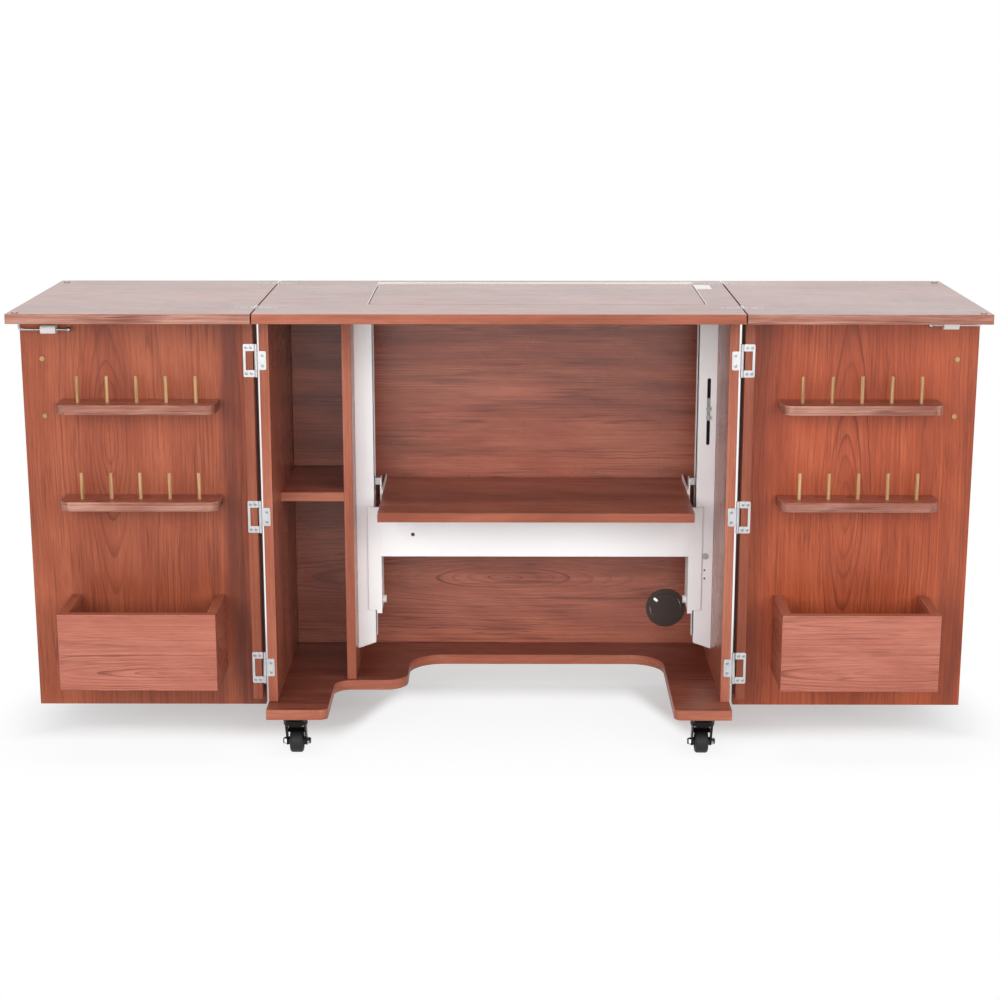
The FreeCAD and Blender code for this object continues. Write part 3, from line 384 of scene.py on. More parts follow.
# Colours of the wood: dark, middle and light tones, and the lines between rings
SMOKY_BROWN = paint(92, 46, 38)
LEFT_DOOR_COLOURS = paint(144, 72, 50), paint(161, 84, 58), paint(176, 98, 69), paint(96, 46, 33)
RIGHT_DOOR_COLOURS = paint(152, 70, 44), paint(171, 82, 52), paint(188, 97, 63), paint(98, 42, 28)
BOARD_COLOURS = paint(137, 71, 54), paint(165, 92, 71), paint(187, 113, 89), paint(88, 42, 32)
# Base board: darker than the other boards, painted shade for the shadow under the top and between the
# sides
SHADED_BASE_COLOURS = paint(118, 59, 44), paint(142, 76, 57), paint(162, 95, 73), paint(76, 35, 26)
# Bin fronts: lighter than the doors, painted light for their standing nearer the lamps
LIT_BIN_COLOURS = paint(157, 90, 74), paint(177, 105, 87), paint(191, 121, 102), paint(124, 67, 53)
# Worktop and leaves: darker than the other boards, painted shade for the little light that falls on the
# top; the coat's sheen lies over it
SHADED_TOP_COLOURS = paint(112, 60, 48), paint(136, 74, 59), paint(156, 90, 71), paint(84, 42, 34)
BAND_COLOURS = paint(140, 75, 54), paint(161, 90, 67), paint(178, 109, 86), paint(117, 60, 43)
# Stile edge bands: darker than the other edge bands, painted shade as if the leaf above shaded them
# like the doors
SHADED_STILE_COLOURS = paint(124, 63, 43), paint(140, 74, 52), paint(154, 88, 65), paint(100, 49, 34)
STREAK_COLOURS = paint(112, 64, 51), paint(153, 97, 81), paint(192, 144, 127), paint(80, 43, 35)

CHERRY_LEFT_DOOR = cherry("cherry_left_door", LEFT_DOOR_COLOURS, 0.0068, 0.25, 0.02, 0.85, 0.8, 0.32,
                          Specular_IOR_Level=0.3)
CHERRY_RIGHT_DOOR = cherry("cherry_right_door", RIGHT_DOOR_COLOURS, 0.0072, 0.2, 0.034, 0.75, 0.7, 0.32,
                           Specular_IOR_Level=0.3)
CHERRY_BOARD = cherry("cherry_board", BOARD_COLOURS, 0.005, 0.18, 0.02, 0.95, 0.6, 0.28,
                      Specular_IOR_Level=0.5)
CHERRY_INNER = cherry("cherry_inner_board", BOARD_COLOURS, 0.007, 0.24, 0.02, 0.85, 0.6, 0.36,
                      Specular_IOR_Level=0.25)
# Base board finish, in its darker colours of painted shade
CHERRY_BASE_SHADED = cherry("cherry_base_board_painted_shade", SHADED_BASE_COLOURS, 0.007, 0.24, 0.02, 0.85, 0.6, 0.36,
                     Specular_IOR_Level=0.25)
# Bin front finish, in its lighter colours of painted light
CHERRY_BIN_LIT = cherry("cherry_bin_front_painted_light", LIT_BIN_COLOURS, 0.0045, 0.08, 0.016, 1.0, 0.3, 0.34,
                    Specular_IOR_Level=0.3)
# Worktop finish, in its darker colours of painted shade
CHERRY_TOP_SHADED = cherry("cherry_worktop_painted_shade", SHADED_TOP_COLOURS, 0.007, 0.2, 0.02, 0.9, 0.5, 0.3,
                    Coat_Weight=0.5, Coat_Roughness=0.2)
EDGE_BAND = cherry("cherry_edge_band", BAND_COLOURS, 0.0042, 0.012, 0.006, 0.6, 0.0, 0.42,
                   Specular_IOR_Level=0.3)
CHERRY_STILE = cherry("cherry_stile", LEFT_DOOR_COLOURS, 0.007, 0.2, 0.02, 0.8, 0.5, 0.5,
                      Specular_IOR_Level=0.1)
# Stile edge band finish, in its darker colours of painted shade
STILE_BAND_SHADED = cherry("cherry_stile_band_painted_shade", SHADED_STILE_COLOURS, 0.0042, 0.012, 0.006, 0.6, 0.0, 0.42,
                    Specular_IOR_Level=0.3)
STREAKED_BAND = cherry("cherry_streaked_band", STREAK_COLOURS, 0.0036, 0.02, 0.008, 1.0, 0.0, 0.45,
                       Specular_IOR_Level=0.3)

WHITE_COAT = coated("white_powder_coat", paint(251, 252, 253), paint(246, 247, 248),
                    paint(226, 225, 222), 0.42, 620.0, 0.12)
WHITE_MOULDED = coated("white_moulded_plastic", paint(238, 237, 233), paint(230, 228, 222),
                       paint(222, 220, 214), 0.38, 380.0, 0.1)
BROWN_MOULDED = coated("brown_moulded_plastic", paint(64, 47, 41), paint(56, 41, 36), paint(88, 68, 60),
                       0.4, 900.0, 0.3)
BLACK_GLOSS = coated("gloss_black_steel", paint(15, 15, 16), paint(20, 20, 21), paint(58, 58, 60),
                     0.34, 500.0, 0.12, Specular_IOR_Level=0.14)
WHEEL_RUBBER = coated("wheel_tread", paint(30, 30, 32), paint(38, 38, 40), paint(54, 53, 53),
                      0.5, 1400.0, 0.4, Specular_IOR_Level=0.3)
GREY_PAINT = coated("grey_strut_paint", paint(72, 74, 76), paint(62, 64, 66), paint(130, 131, 132),
                    0.38, 700.0, 0.15)
BUMPER_RUBBER = coated("bumper_rubber", paint(178, 150, 142), paint(162, 134, 126),
                       paint(196, 172, 164), 0.3, 900.0, 0.15, Coat_Weight=0.5, Coat_Roughness=0.2)
# Inside faces of the lift columns: a dark coat of painted shade for the dark within the channels
CHANNEL_SHADE_PAINT = coated("channel_inside_painted_shade", paint(44, 36, 36), paint(36, 30, 30), paint(70, 62, 62),
                     0.55, 500.0, 0.2)

PLATED_STEEL = plated("plated_steel", paint(206, 206, 207), paint(184, 184, 186), 0.36,
                      (900.0, 900.0, 60.0))
# Screw heads: a grey darker than the plates, partly the screws' own zinc and partly painted shade for
# the shadows round their heads
SCREW_STEEL = plated("screw_steel", paint(176, 176, 176), paint(140, 140, 141), 0.32,
                     (1200.0, 1200.0, 1200.0))
BRIGHT_ROD = plated("bright_rod", paint(196, 196, 197), paint(160, 160, 162), 0.2,
                    (60.0, 1500.0, 1500.0))
ZINC_BAR = plated("zinc_bar", paint(156, 160, 156), paint(126, 130, 127), 0.4, (900.0, 900.0, 80.0))
BRASS = plated("polished_brass", paint(196, 162, 112), paint(158, 124, 80), 0.26,
               (1200.0, 300.0, 1200.0))


def turned_wood():
    """Pale turned pegs, with fibres along them."""
    material, tree, shader = new_finish("turned_peg_wood", Specular_IOR_Level=0.4)
    place = object_place(tree)
    fibres = cloud(tree, stretch(tree, place, 700.0, 700.0, 30.0), detail=3.0, roughness=0.6)
    figure = cloud(tree, stretch(tree, place, 160.0, 160.0, 9.0), detail=2.0)
    tone = calc(tree, "MULTIPLY_ADD", fibres, 0.5, calc(tree, "MULTIPLY", figure, 0.5))
    colour = colour_steps(tree, tone, (0.36, paint(146, 104, 66)), (0.5, paint(184, 144, 100)),
                          (0.64, paint(206, 170, 126)))
    tree.links.new(colour, shader.inputs["Base Color"])
    tree.links.new(calc(tree, "MULTIPLY_ADD", fibres, 0.3, 0.35), shader.inputs["Roughness"])
    raised(tree, shader, fibres, 0.3, 0.0002)
    return material


PEG_WOOD = turned_wood()


# Meshes

def welded(node):
    """A copy of a CAD node's mesh with its triangles joined into whole faces."""
    bm = bmesh.new()
    bm.from_mesh(NODES[node].data)
    bmesh.ops.remove_doubles(bm, verts=bm.verts, dist=WELD)
    bmesh.ops.dissolve_limit(bm, angle_limit=FLAT_ANGLE, verts=bm.verts, edges=bm.edges)
    for face in bm.faces:
        face.material_index = 0
    bm.normal_update()
    return bm


def is_sharp(edge):
    return len(edge.link_faces) == 2 and edge.calc_face_angle(0.0) > SHARP_ANGLE


def on_box_edges(low, high):
    """A test for edges that lie along the edges of a box."""
    def test(edge):
        planes = 0
        for axis in (X, Y, Z):
            for limit in (low[axis], high[axis]):
                if all(abs(v.co[axis] - limit) < ON_PLANE for v in edge.verts):
                    planes += 1
        return planes == 2
    return test


def ease(bm, wanted, width, segments=2):
    """Round the sharp edges that are wanted, and mark the new faces as rubbed."""
    edges = [e for e in bm.edges if is_sharp(e) and wanted(e)]
    rub = bm.faces.layers.float.get(EDGE_RUB) or bm.faces.layers.float.new(EDGE_RUB)
    made = bmesh.ops.bevel(bm, geom=edges, offset=width, offset_type="OFFSET", segments=segments,
                           profile=0.5, affect="EDGES", clamp_overlap=False)
    for face in made["faces"]:
        face[rub] = 1.0
    bm.normal_update()


def lay_grain(bm, faces, thick, grain, heart, board, finish=0):
    """Give faces their place in the figure; broad faces take the finish, edges the next one."""
    layers = bm.loops.layers.float_vector
    place = layers.get(GRAIN_PLACE) or layers.new(GRAIN_PLACE)
    across = next(axis for axis in (X, Y, Z) if axis not in (thick, grain))
    through = Vector([float(axis == thick) for axis in (X, Y, Z)])
    for face in faces:
        broad = abs(face.normal[thick]) > BROAD
        face.material_index = finish if broad else finish + 1
        tangent = face.normal.cross(through).normalized()
        which = board + FACE_STEP * round(face.calc_center_median()[thick] / FACE_SPACING)
        for loop in face.loops:
            spot = loop.vert.co
            if broad:
                loop[place] = (spot[grain] - heart[0], spot[across] - heart[1], which)
            else:
                loop[place] = (spot.dot(tangent), spot[thick], which)


def shade(bm):
    """Smooth small and curved faces between sharp edges, and keep broad faces flat."""
    for edge in bm.edges:
        edge.smooth = not is_sharp(edge)
    for face in bm.faces:
        face.smooth = face.calc_area() < BIG_FACE


def add_piece(name, bm, body, finishes, replaced):
    """Make a visible piece that rides on a body, in place of the CAD nodes in replaced."""
    shade(bm)
    mesh = bpy.data.meshes.new(name)
    bm.to_mesh(mesh)
    bm.free()
    for finish in finishes:
        mesh.materials.append(finish)
    piece = bpy.data.objects.new(name, mesh)
    bpy.context.scene.collection.objects.link(piece)
    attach(piece, body)
    if replaced:
        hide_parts(*replaced)
    return piece


def body_of(node):
    return NODES[node]["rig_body"]


# Boards: thickness axis, grain axis, heart along and across the grain, face and edge finishes

LEFT_DOOR_FINISH = (CHERRY_LEFT_DOOR, EDGE_BAND)
RIGHT_DOOR_FINISH = (CHERRY_RIGHT_DOOR, EDGE_BAND)
BIN_FINISH = (CHERRY_BIN_LIT, EDGE_BAND, CHERRY_INNER, EDGE_BAND)
BOARD_FINISH = (CHERRY_BOARD, EDGE_BAND)
INNER_FINISH = (CHERRY_INNER, EDGE_BAND)
BASE_FINISH = (CHERRY_BASE_SHADED, EDGE_BAND)
STILE_FINISH = (CHERRY_STILE, STILE_BAND_SHADED)
TOP_FINISH = (CHERRY_TOP_SHADED, EDGE_BAND)
LEAF_FINISH = (CHERRY_TOP_SHADED, STREAKED_BAND)
STREAKED_FINISH = (CHERRY_BOARD, STREAKED_BAND)

BOARDS = {
    "base_board": (Z, X, (0.05, 0.21), BASE_FINISH),
    "left_side_panel": (X, Z, (0.30, 0.03), BOARD_FINISH),
    "right_side_panel": (X, Z, (0.52, 0.06), BOARD_FINISH),
    "divider_panel": (X, Z, (0.45, 0.10), BOARD_FINISH),
    "fixed_shelf": (Z, X, (-0.50, 0.02), INNER_FINISH),
    "back_panel": (Y, X, (0.006, 0.213), BOARD_FINISH),
    "centre_top": (Z, X, (-0.60, -0.30), TOP_FINISH),
    "lid": (Z, X, (-0.60, -0.30), TOP_FINISH),
    "left_leaf_board": (Z, X, (-0.20, 0.05), LEAF_FINISH),
    "right_leaf_board": (Z, X, (0.95, 0.10), LEAF_FINISH),
    "left_door_panel": (Y, Z, (0.537, -0.653), LEFT_DOOR_FINISH),
    "right_door_panel": (Y, Z, (0.42, 0.585), RIGHT_DOOR_FINISH),
    "left_door_stile": (X, Z, (0.10, -0.20), STILE_FINISH),
    "right_door_stile": (X, Z, (0.60, -0.22), STILE_FINISH),
    "left_peg_shelves": (Z, X, (-0.45, -0.16), STREAKED_FINISH),
    "right_peg_shelves": (Z, X, (0.80, -0.12), STREAKED_FINISH),
    "platform": (Z, X, (0.30, 0.05), INNER_FINISH),
}


def outline_edges(thick):
    """A test for the edges round a board's broad faces, but not round small holes."""
    def test(edge):
        sides = [abs(face.normal[thick]) > BROAD for face in edge.link_faces]
        return sides[0] != sides[1] and edge.calc_length() > SMALL_HOLE_EDGE
    return test


def make_boards():
    """Every single board from its CAD solid, with eased edges and its grain laid."""
    curved = {"base_board", "left_peg_shelves", "right_peg_shelves"}
    for number, (node, (thick, grain, heart, finishes)) in enumerate(BOARDS.items()):
        bm = welded(node)
        test = outline_edges(thick) if node in curved else on_box_edges(*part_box(node))
        ease(bm, test, BOARD_EASE)
        lay_grain(bm, bm.faces, thick, grain, heart, BOARD_STEP * number)
        add_piece(node + "_made", bm, body_of(node), finishes, [node])


def add_board(bm, low, high, thick, grain, heart, board, finish):
    """One square-cut board in a mesh of several."""
    before = set(bm.faces)
    made = bmesh.ops.create_cube(bm, size=1.0)
    for vert in made["verts"]:
        vert.co = Vector([a + (b - a) * (c + 0.5) for a, b, c in zip(low, high, vert.co)])
    edges = {e for v in made["verts"] for e in v.link_edges}
    bm.normal_update()
    ease(bm, lambda e: e in edges, BOARD_EASE)
    lay_grain(bm, [f for f in bm.faces if f not in before], thick, grain, heart, board, finish)


def make_bin(side, board):
    """Bin on a door: front board, two ends and a floor between them."""
    front, box = side + "_bin_front", side + "_bin_box"
    (left, near, low), (right, back, high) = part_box(front)
    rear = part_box(box)[1].y
    wall = back - near
    middle = (left + right) / 2
    face, inside = 0, 2
    bm = bmesh.new()
    add_board(bm, (left, near, low), (right, back, high),
              Y, X, (middle + 0.05, low + 0.03), board, face)
    add_board(bm, (left, back, low), (left + wall, rear, high),
              X, Y, (-0.4, 0.22), board + 1, inside)
    add_board(bm, (right - wall, back, low), (right, rear, high),
              X, Y, (-0.35, 0.18), board + 2, inside)
    add_board(bm, (left + wall, back, low), (right - wall, rear, low + wall),
              Z, X, (middle, -0.2), board + 3, inside)
    add_piece(side + "_bin", bm, body_of(front), BIN_FINISH, [front, box])


make_boards()
make_bin("left", 41.0)
make_bin("right", 53.0)


# Steel, plastic and rubber pieces, from their CAD solids

def long_edges(edge):
    return edge.calc_length() > LONG_EDGE


def make_part(node, finish, slot, eased=0.0, second=None, is_second=None):
    """A CAD node's own shape with a finish, and a second finish on the faces that is_second picks."""
    bm = welded(node)
    if eased:
        ease(bm, long_edges, eased, segments=1)
    if second:
        for face in bm.faces:
            face.material_index = int(is_second(face.calc_center_median()))
    finishes = [finish, second] if second else [finish]
    return add_piece(node + "_made", bm, body_of(node), finishes, [node])


PARTS = [
    ("crossbar", WHITE_COAT, "white_steel", STEEL_EASE),
    ("carriages", WHITE_COAT, "white_steel", STEEL_EASE),
    ("platform_arms", WHITE_COAT, "white_steel", STEEL_EASE),
    ("guide_blocks", WHITE_MOULDED, "white_plastic", STEEL_EASE),
    ("opening_liner", WHITE_MOULDED, "white_plastic", 0.0),
    ("notch_plate", WHITE_MOULDED, "white_plastic", STEEL_EASE),
    ("left_bolt_guide", WHITE_MOULDED, "white_plastic", 0.0),
    ("right_bolt_guide", WHITE_MOULDED, "white_plastic", 0.0),
    ("strut_cylinders", GREY_PAINT, "grey_steel", 0.0),
    ("strut_rods", BRIGHT_ROD, "bright_steel", 0.0),
    ("grommet_ring", BROWN_MOULDED, "brown_plastic", 0.0),
    ("grommet_cap", BROWN_MOULDED, "brown_plastic", 0.0),
    ("cabinet_hinge_leaves", PLATED_STEEL, "bright_steel", 0.0),
    ("left_door_hinge_leaves", PLATED_STEEL, "bright_steel", 0.0),
    ("right_door_hinge_leaves", PLATED_STEEL, "bright_steel", 0.0),
    ("top_hinge_wings", PLATED_STEEL, "bright_steel", 0.0),
    ("left_leaf_hinge_wings", PLATED_STEEL, "bright_steel", 0.0),
    ("right_leaf_hinge_wings", PLATED_STEEL, "bright_steel", 0.0),
    ("hinge_pins", BRIGHT_ROD, "bright_steel", 0.0),
    ("left_bolt", BRIGHT_ROD, "bright_steel", 0.0),
    ("right_bolt", BRIGHT_ROD, "bright_steel", 0.0),
    ("left_leaf_bumpers", BUMPER_RUBBER, "rubber", 0.0),
    ("right_leaf_bumpers", BUMPER_RUBBER, "rubber", 0.0),
    ("left_pegs", PEG_WOOD, "peg_wood", 0.0),
    ("right_pegs", PEG_WOOD, "peg_wood", 0.0),
    ("caster_plates", BLACK_GLOSS, "black_steel", 0.0),
]

CORNERS = ("front_left", "front_right", "rear_left", "rear_right")

# Guard over a caster wheel: radii and half width in metres, arc in degrees up from the front
GUARD_INNER = 0.0225
GUARD_OUTER = 0.024
GUARD_HALF = 0.0146
GUARD_START = 58
GUARD_ARC = 52
GUARD_STEPS = 16


def inside_channel(low, high):
    """A test for spots within a channel's walls."""
    return lambda spot: all(low[axis] + CHANNEL_WALL < spot[axis] < high[axis] - CHANNEL_WALL
                            for axis in (X, Y))


def ahead_of(plane):
    """A test for spots in front of a plane across the depth."""
    return lambda spot: spot.y < plane - WELD


def make_wheel_guard(corner):
    """Curved guard between the fork's legs, over the front and top of the wheel."""
    low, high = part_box(corner + "_wheel")
    axle = (low + high) / 2
    section = ((GUARD_INNER, -GUARD_HALF), (GUARD_INNER, GUARD_HALF),
               (GUARD_OUTER, GUARD_HALF), (GUARD_OUTER, -GUARD_HALF))
    rows = []
    bm = bmesh.new()
    for step in range(GUARD_STEPS + 1):
        angle = math.radians(GUARD_START + GUARD_ARC * step / GUARD_STEPS)
        ring = []
        for reach, side in section:
            ring.append(bm.verts.new((axle.x + side, axle.y - reach * math.cos(angle),
                                      axle.z + reach * math.sin(angle))))
        rows.append(ring)
    for first, second in zip(rows, rows[1:]):
        for a in range(4):
            b = (a + 1) % 4
            bm.faces.new((first[a], first[b], second[b], second[a]))
    bm.faces.new(rows[0])
    bm.faces.new(rows[-1])
    bmesh.ops.recalc_face_normals(bm, faces=bm.faces)
    add_piece(corner + "_wheel_guard", bm, corner + "_swivel", [BLACK_GLOSS], [])


for part in PARTS:
    make_part(*part)

for side in ("left", "right"):
    column = side + "_lift_column"
    # The faces within the channel's walls take the dark painted shade
    make_part(column, WHITE_COAT, "white_steel", STEEL_EASE, CHANNEL_SHADE_PAINT,
              inside_channel(*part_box(column)))
    door_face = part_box(side + "_door_panel")[1].y
    make_part(side + "_handle", BRIGHT_ROD, "bright_steel", 0.0, BRASS, ahead_of(door_face))

column_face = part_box("right_lift_column")[0].y
make_part("adjuster", ZINC_BAR, "grey_steel", 0.0, BRIGHT_ROD, ahead_of(column_face))

for corner in CORNERS:
    make_part(corner + "_fork", BLACK_GLOSS, "black_steel")
    make_part(corner + "_wheel", WHEEL_RUBBER, "wheel_rubber")
    make_wheel_guard(corner)


# Screws and nuts, set out by Geometry Nodes

def node_at(tree, kind, **values):
    """A new node with its inputs set or linked by name."""
    node = tree.nodes.new(kind)
    for name, value in values.items():
        feed(tree, value, node.inputs[name.replace("_", " ")])
    return node


def tree_with(name, sizes):
    """A Geometry Nodes tree with spots to fill, its sizes and a finish as named inputs."""
    tree = bpy.data.node_groups.new(name, "GeometryNodeTree")
    tree.is_modifier = True
    tree.interface.new_socket("Spots", in_out="INPUT", socket_type="NodeSocketGeometry")
    for size in sizes:
        tree.interface.new_socket(size, in_out="INPUT", socket_type="NodeSocketFloat")
    tree.interface.new_socket("Finish", in_out="INPUT", socket_type="NodeSocketMaterial")
    tree.interface.new_socket("Made", in_out="OUTPUT", socket_type="NodeSocketGeometry")
    return tree, tree.nodes.new("NodeGroupInput").outputs, tree.nodes.new("NodeGroupOutput").inputs


def set_on_spots(tree, given, result, shape):
    """Stand a shape on every spot, facing out, each turned by its own amount."""
    facing = node_at(tree, "GeometryNodeInputNamedAttribute", Name="face_out")
    facing.data_type = "FLOAT_VECTOR"
    lined_up = node_at(tree, "FunctionNodeAlignRotationToVector", Vector=facing.outputs["Attribute"])
    lined_up.axis = "Z"
    turn = tree.nodes.new("FunctionNodeRandomValue")
    turn.data_type = "FLOAT"
    turn.inputs[2].default_value = 0.0
    turn.inputs[3].default_value = math.pi
    turn.inputs["Seed"].default_value = 7
    spin = node_at(tree, "FunctionNodeAxisAngleToRotation", Axis=(0.0, 0.0, 1.0), Angle=turn.outputs[1])
    turned = node_at(tree, "FunctionNodeRotateRotation", Rotation=lined_up.outputs[0],
                     Rotate_By=spin.outputs[0])
    turned.rotation_space = "LOCAL"
    placed = node_at(tree, "GeometryNodeInstanceOnPoints", Points=given["Spots"], Instance=shape,
                     Rotation=turned.outputs[0])
    real = node_at(tree, "GeometryNodeRealizeInstances", Geometry=placed.outputs[0])
    made = node_at(tree, "GeometryNodeSetMaterial", Geometry=real.outputs[0], Material=given["Finish"])
    tree.links.new(made.outputs[0], result["Made"])


def cross_head_tree():
    """Low coned screw head with a cross recess."""
    tree, given, result = tree_with("cross_head_screws", ("Head Radius", "Head Height"))
    radius, height = given["Head Radius"], given["Head Height"]
    head = node_at(tree, "GeometryNodeMeshCone", Vertices=20, Radius_Bottom=radius, Depth=height,
                   Radius_Top=calc(tree, "MULTIPLY", radius, 0.82))
    bars = []
    for long, wide in ((1.1, 0.26), (0.26, 1.1)):
        size = tree.nodes.new("ShaderNodeCombineXYZ")
        for socket, value in zip(size.inputs, (calc(tree, "MULTIPLY", radius, long),
                                               calc(tree, "MULTIPLY", radius, wide), height)):
            tree.links.new(value, socket)
        bar = node_at(tree, "GeometryNodeMeshCube", Size=size.outputs[0])
        lift = tree.nodes.new("ShaderNodeCombineXYZ")
        tree.links.new(height, lift.inputs["Z"])
        bars.append(node_at(tree, "GeometryNodeTransform", Geometry=bar.outputs[0],
                            Translation=lift.outputs[0]))
    recessed = tree.nodes.new("GeometryNodeMeshBoolean")
    recessed.operation = "DIFFERENCE"
    tree.links.new(head.outputs["Mesh"], recessed.inputs[0])
    for bar in bars:
        tree.links.new(bar.outputs[0], recessed.inputs[1])
    set_on_spots(tree, given, result, recessed.outputs[0])
    return tree


def domed_nut_tree():
    """Six-sided nut with a domed end."""
    tree, given, result = tree_with("domed_nuts", ("Nut Radius", "Nut Height"))
    radius, height = given["Nut Radius"], given["Nut Height"]
    hexagon = node_at(tree, "GeometryNodeMeshCone", Vertices=6, Radius_Bottom=radius, Radius_Top=radius,
                      Depth=calc(tree, "MULTIPLY", height, 0.55))
    round_end = calc(tree, "MULTIPLY", radius, 0.8)
    half_height = calc(tree, "MULTIPLY", height, 0.5)
    dome = node_at(tree, "GeometryNodeMeshUVSphere", Segments=20, Rings=10, Radius=round_end)
    lift = tree.nodes.new("ShaderNodeCombineXYZ")
    tree.links.new(half_height, lift.inputs["Z"])
    flat = tree.nodes.new("ShaderNodeCombineXYZ")
    flat.inputs["X"].default_value = 1.0
    flat.inputs["Y"].default_value = 1.0
    tree.links.new(calc(tree, "DIVIDE", half_height, round_end), flat.inputs["Z"])
    domed = node_at(tree, "GeometryNodeTransform", Geometry=dome.outputs["Mesh"],
                    Translation=lift.outputs[0], Scale=flat.outputs[0])
    whole = tree.nodes.new("GeometryNodeMeshBoolean")
    whole.operation = "UNION"
    for part in (hexagon.outputs["Mesh"], domed.outputs[0]):
        tree.links.new(part, whole.inputs[1])
    set_on_spots(tree, given, result, whole.outputs[0])
    return tree


def set_out(name, tree, sizes, finish, body, spots):
    """Run a tree on spots, each a place and the way it faces, and keep the result as a plain mesh."""
    points = bpy.data.meshes.new(name + "_spots")
    points.from_pydata([place for place, _ in spots], [], [])
    facing = points.attributes.new("face_out", "FLOAT_VECTOR", "POINT")
    for item, (_, way) in zip(facing.data, spots):
        item.vector = way
    piece = bpy.data.objects.new(name, points)
    bpy.context.scene.collection.objects.link(piece)
    modifier = piece.modifiers.new("set_out", "NODES")
    modifier.node_group = tree
    wanted = dict(sizes, Finish=finish)
    for item in tree.interface.items_tree:
        if item.in_out == "INPUT" and item.name in wanted:
            modifier[item.identifier] = wanted[item.name]
    graph = bpy.context.evaluated_depsgraph_get()
    mesh = bpy.data.meshes.new_from_object(piece.evaluated_get(graph), depsgraph=graph)
    piece.modifiers.remove(modifier)
    bm = bmesh.new()
    bm.from_mesh(mesh)
    shade(bm)
    bm.to_mesh(mesh)
    bm.free()
    piece.data = mesh
    mesh.name = name
    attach(piece, body)
    return piece


CROSS_HEAD = cross_head_tree()
DOMED_NUT = domed_nut_tree()
HINGE_SCREW = {"Head Radius": 0.0028, "Head Height": 0.00022}
FLUSH_SCREW = {"Head Radius": 0.0026, "Head Height": 0.00025}
PLATE_SCREW = {"Head Radius": 0.0019, "Head Height": 0.0009}
AXLE_NUT = {"Nut Radius": 0.0062, "Nut Height": 0.0068}

# Places of screws and nuts, in metres from the cabinet's middle plane, floor or own centre
HINGE_FACE = -0.153
HINGE_HEIGHTS = (0.675, 0.412, 0.149)
FRAMED_LEAF_ACROSS = (0.4065, 0.4147)
FRAMED_LEAF_UP = (-0.0214, 0.0214)
SMALL_LEAF_ACROSS = 0.3878
SMALL_LEAF_UP = (-0.0085, 0.0085)
TOP_FACE = 0.760
TOP_WING_ACROSS = (0.3850, 0.3690)
LEAF_WING_ACROSS = (0.4100, 0.4260)
WING_DEPTHS = (-0.1355, 0.1975)
AXLE_NUT_REACH = 0.0175
KINGPIN_BACK = 0.0205
PLATE_UNDERSIDE = 0.0675
PLATE_SCREW_REACH = 0.0163
TO_FRONT = (0.0, -1.0, 0.0)
TO_TOP = (0.0, 0.0, 1.0)
TO_FLOOR = (0.0, 0.0, -1.0)


def hinge_screws():
    """Countersunk screws in the framed door leaves, the small leaves and the flush leaf hinges."""
    small = []
    flush = []
    for side, way in (("left", -1), ("right", 1)):
        framed = [((way * x, HINGE_FACE, z + up), TO_FRONT) for z in HINGE_HEIGHTS
                  for x in FRAMED_LEAF_ACROSS for up in FRAMED_LEAF_UP]
        set_out(side + "_door_hinge_screws", CROSS_HEAD, HINGE_SCREW, SCREW_STEEL,
                side + "_door", framed)
        small += [((way * SMALL_LEAF_ACROSS, HINGE_FACE, z + up), TO_FRONT)
                  for z in HINGE_HEIGHTS for up in SMALL_LEAF_UP]
        flush += [((way * x, y, TOP_FACE), TO_TOP) for x in TOP_WING_ACROSS for y in WING_DEPTHS]
        leaf = [((way * x, y, TOP_FACE), TO_TOP) for x in LEAF_WING_ACROSS for y in WING_DEPTHS]
        set_out(side + "_leaf_hinge_screws", CROSS_HEAD, FLUSH_SCREW, SCREW_STEEL,
                side + "_leaf", leaf)
    set_out("small_leaf_screws", CROSS_HEAD, HINGE_SCREW, SCREW_STEEL, "cabinet", small)
    set_out("top_hinge_screws", CROSS_HEAD, FLUSH_SCREW, SCREW_STEEL, "cabinet", flush)


def caster_fixings():
    """Domed nuts on the axles, and screws at the corners of the mounting plates."""
    plate_screws = []
    for corner in CORNERS:
        low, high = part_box(corner + "_fork")
        wheel_low, wheel_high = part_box(corner + "_wheel")
        middle = (wheel_low + wheel_high) / 2
        nuts = [((middle.x + way * AXLE_NUT_REACH, middle.y, middle.z), (float(way), 0.0, 0.0))
                for way in (-1, 1)]
        set_out(corner + "_axle_nuts", DOMED_NUT, AXLE_NUT, BRIGHT_ROD,
                corner + "_swivel", nuts)
        centre_x = (low.x + high.x) / 2
        kingpin_y = low.y + KINGPIN_BACK
        plate_screws += [((centre_x + a * PLATE_SCREW_REACH, kingpin_y + b * PLATE_SCREW_REACH,
                           PLATE_UNDERSIDE), TO_FLOOR) for a in (-1, 1) for b in (-1, 1)]
    set_out("caster_plate_screws", CROSS_HEAD, PLATE_SCREW, BRIGHT_ROD, "cabinet",
            plate_screws)


hinge_screws()
caster_fixings()


# Stage, light and camera

BOUNCE_GREY = (0.6, 0.6, 0.6, 1.0)            # what the floor throws back at the cabinet
FLOOR_GREY = (0.825, 0.86, 0.866, 1.0)        # what the eye sees of it, a little cool
WHITE = (1.0, 1.0, 1.0, 1.0)
FLOOR_LIFT = 0.31                             # light of its own, which softens the shadows
FLOOR_SIZE = 30.0
FAR_FADE = (0.66, 0.84)                       # metres from the middle where shadows fade out
FLOOR_SQUASH = 0.9                            # they reach a little further sideways
FRONT_FADE = (0.0, 0.12)                      # metres in front of the middle where they fade out
FRONT_SHARE = 0.8                             # how far they fade there
KNEE_MIDDLE = 0.03
KNEE_FADE = (0.32, 0.2)                       # metres from its middle where the knee space ends
KNEE_BACK = 0.23                              # there shadows fade out this much further back
SOFT_DOME = 0.22                              # light from all round


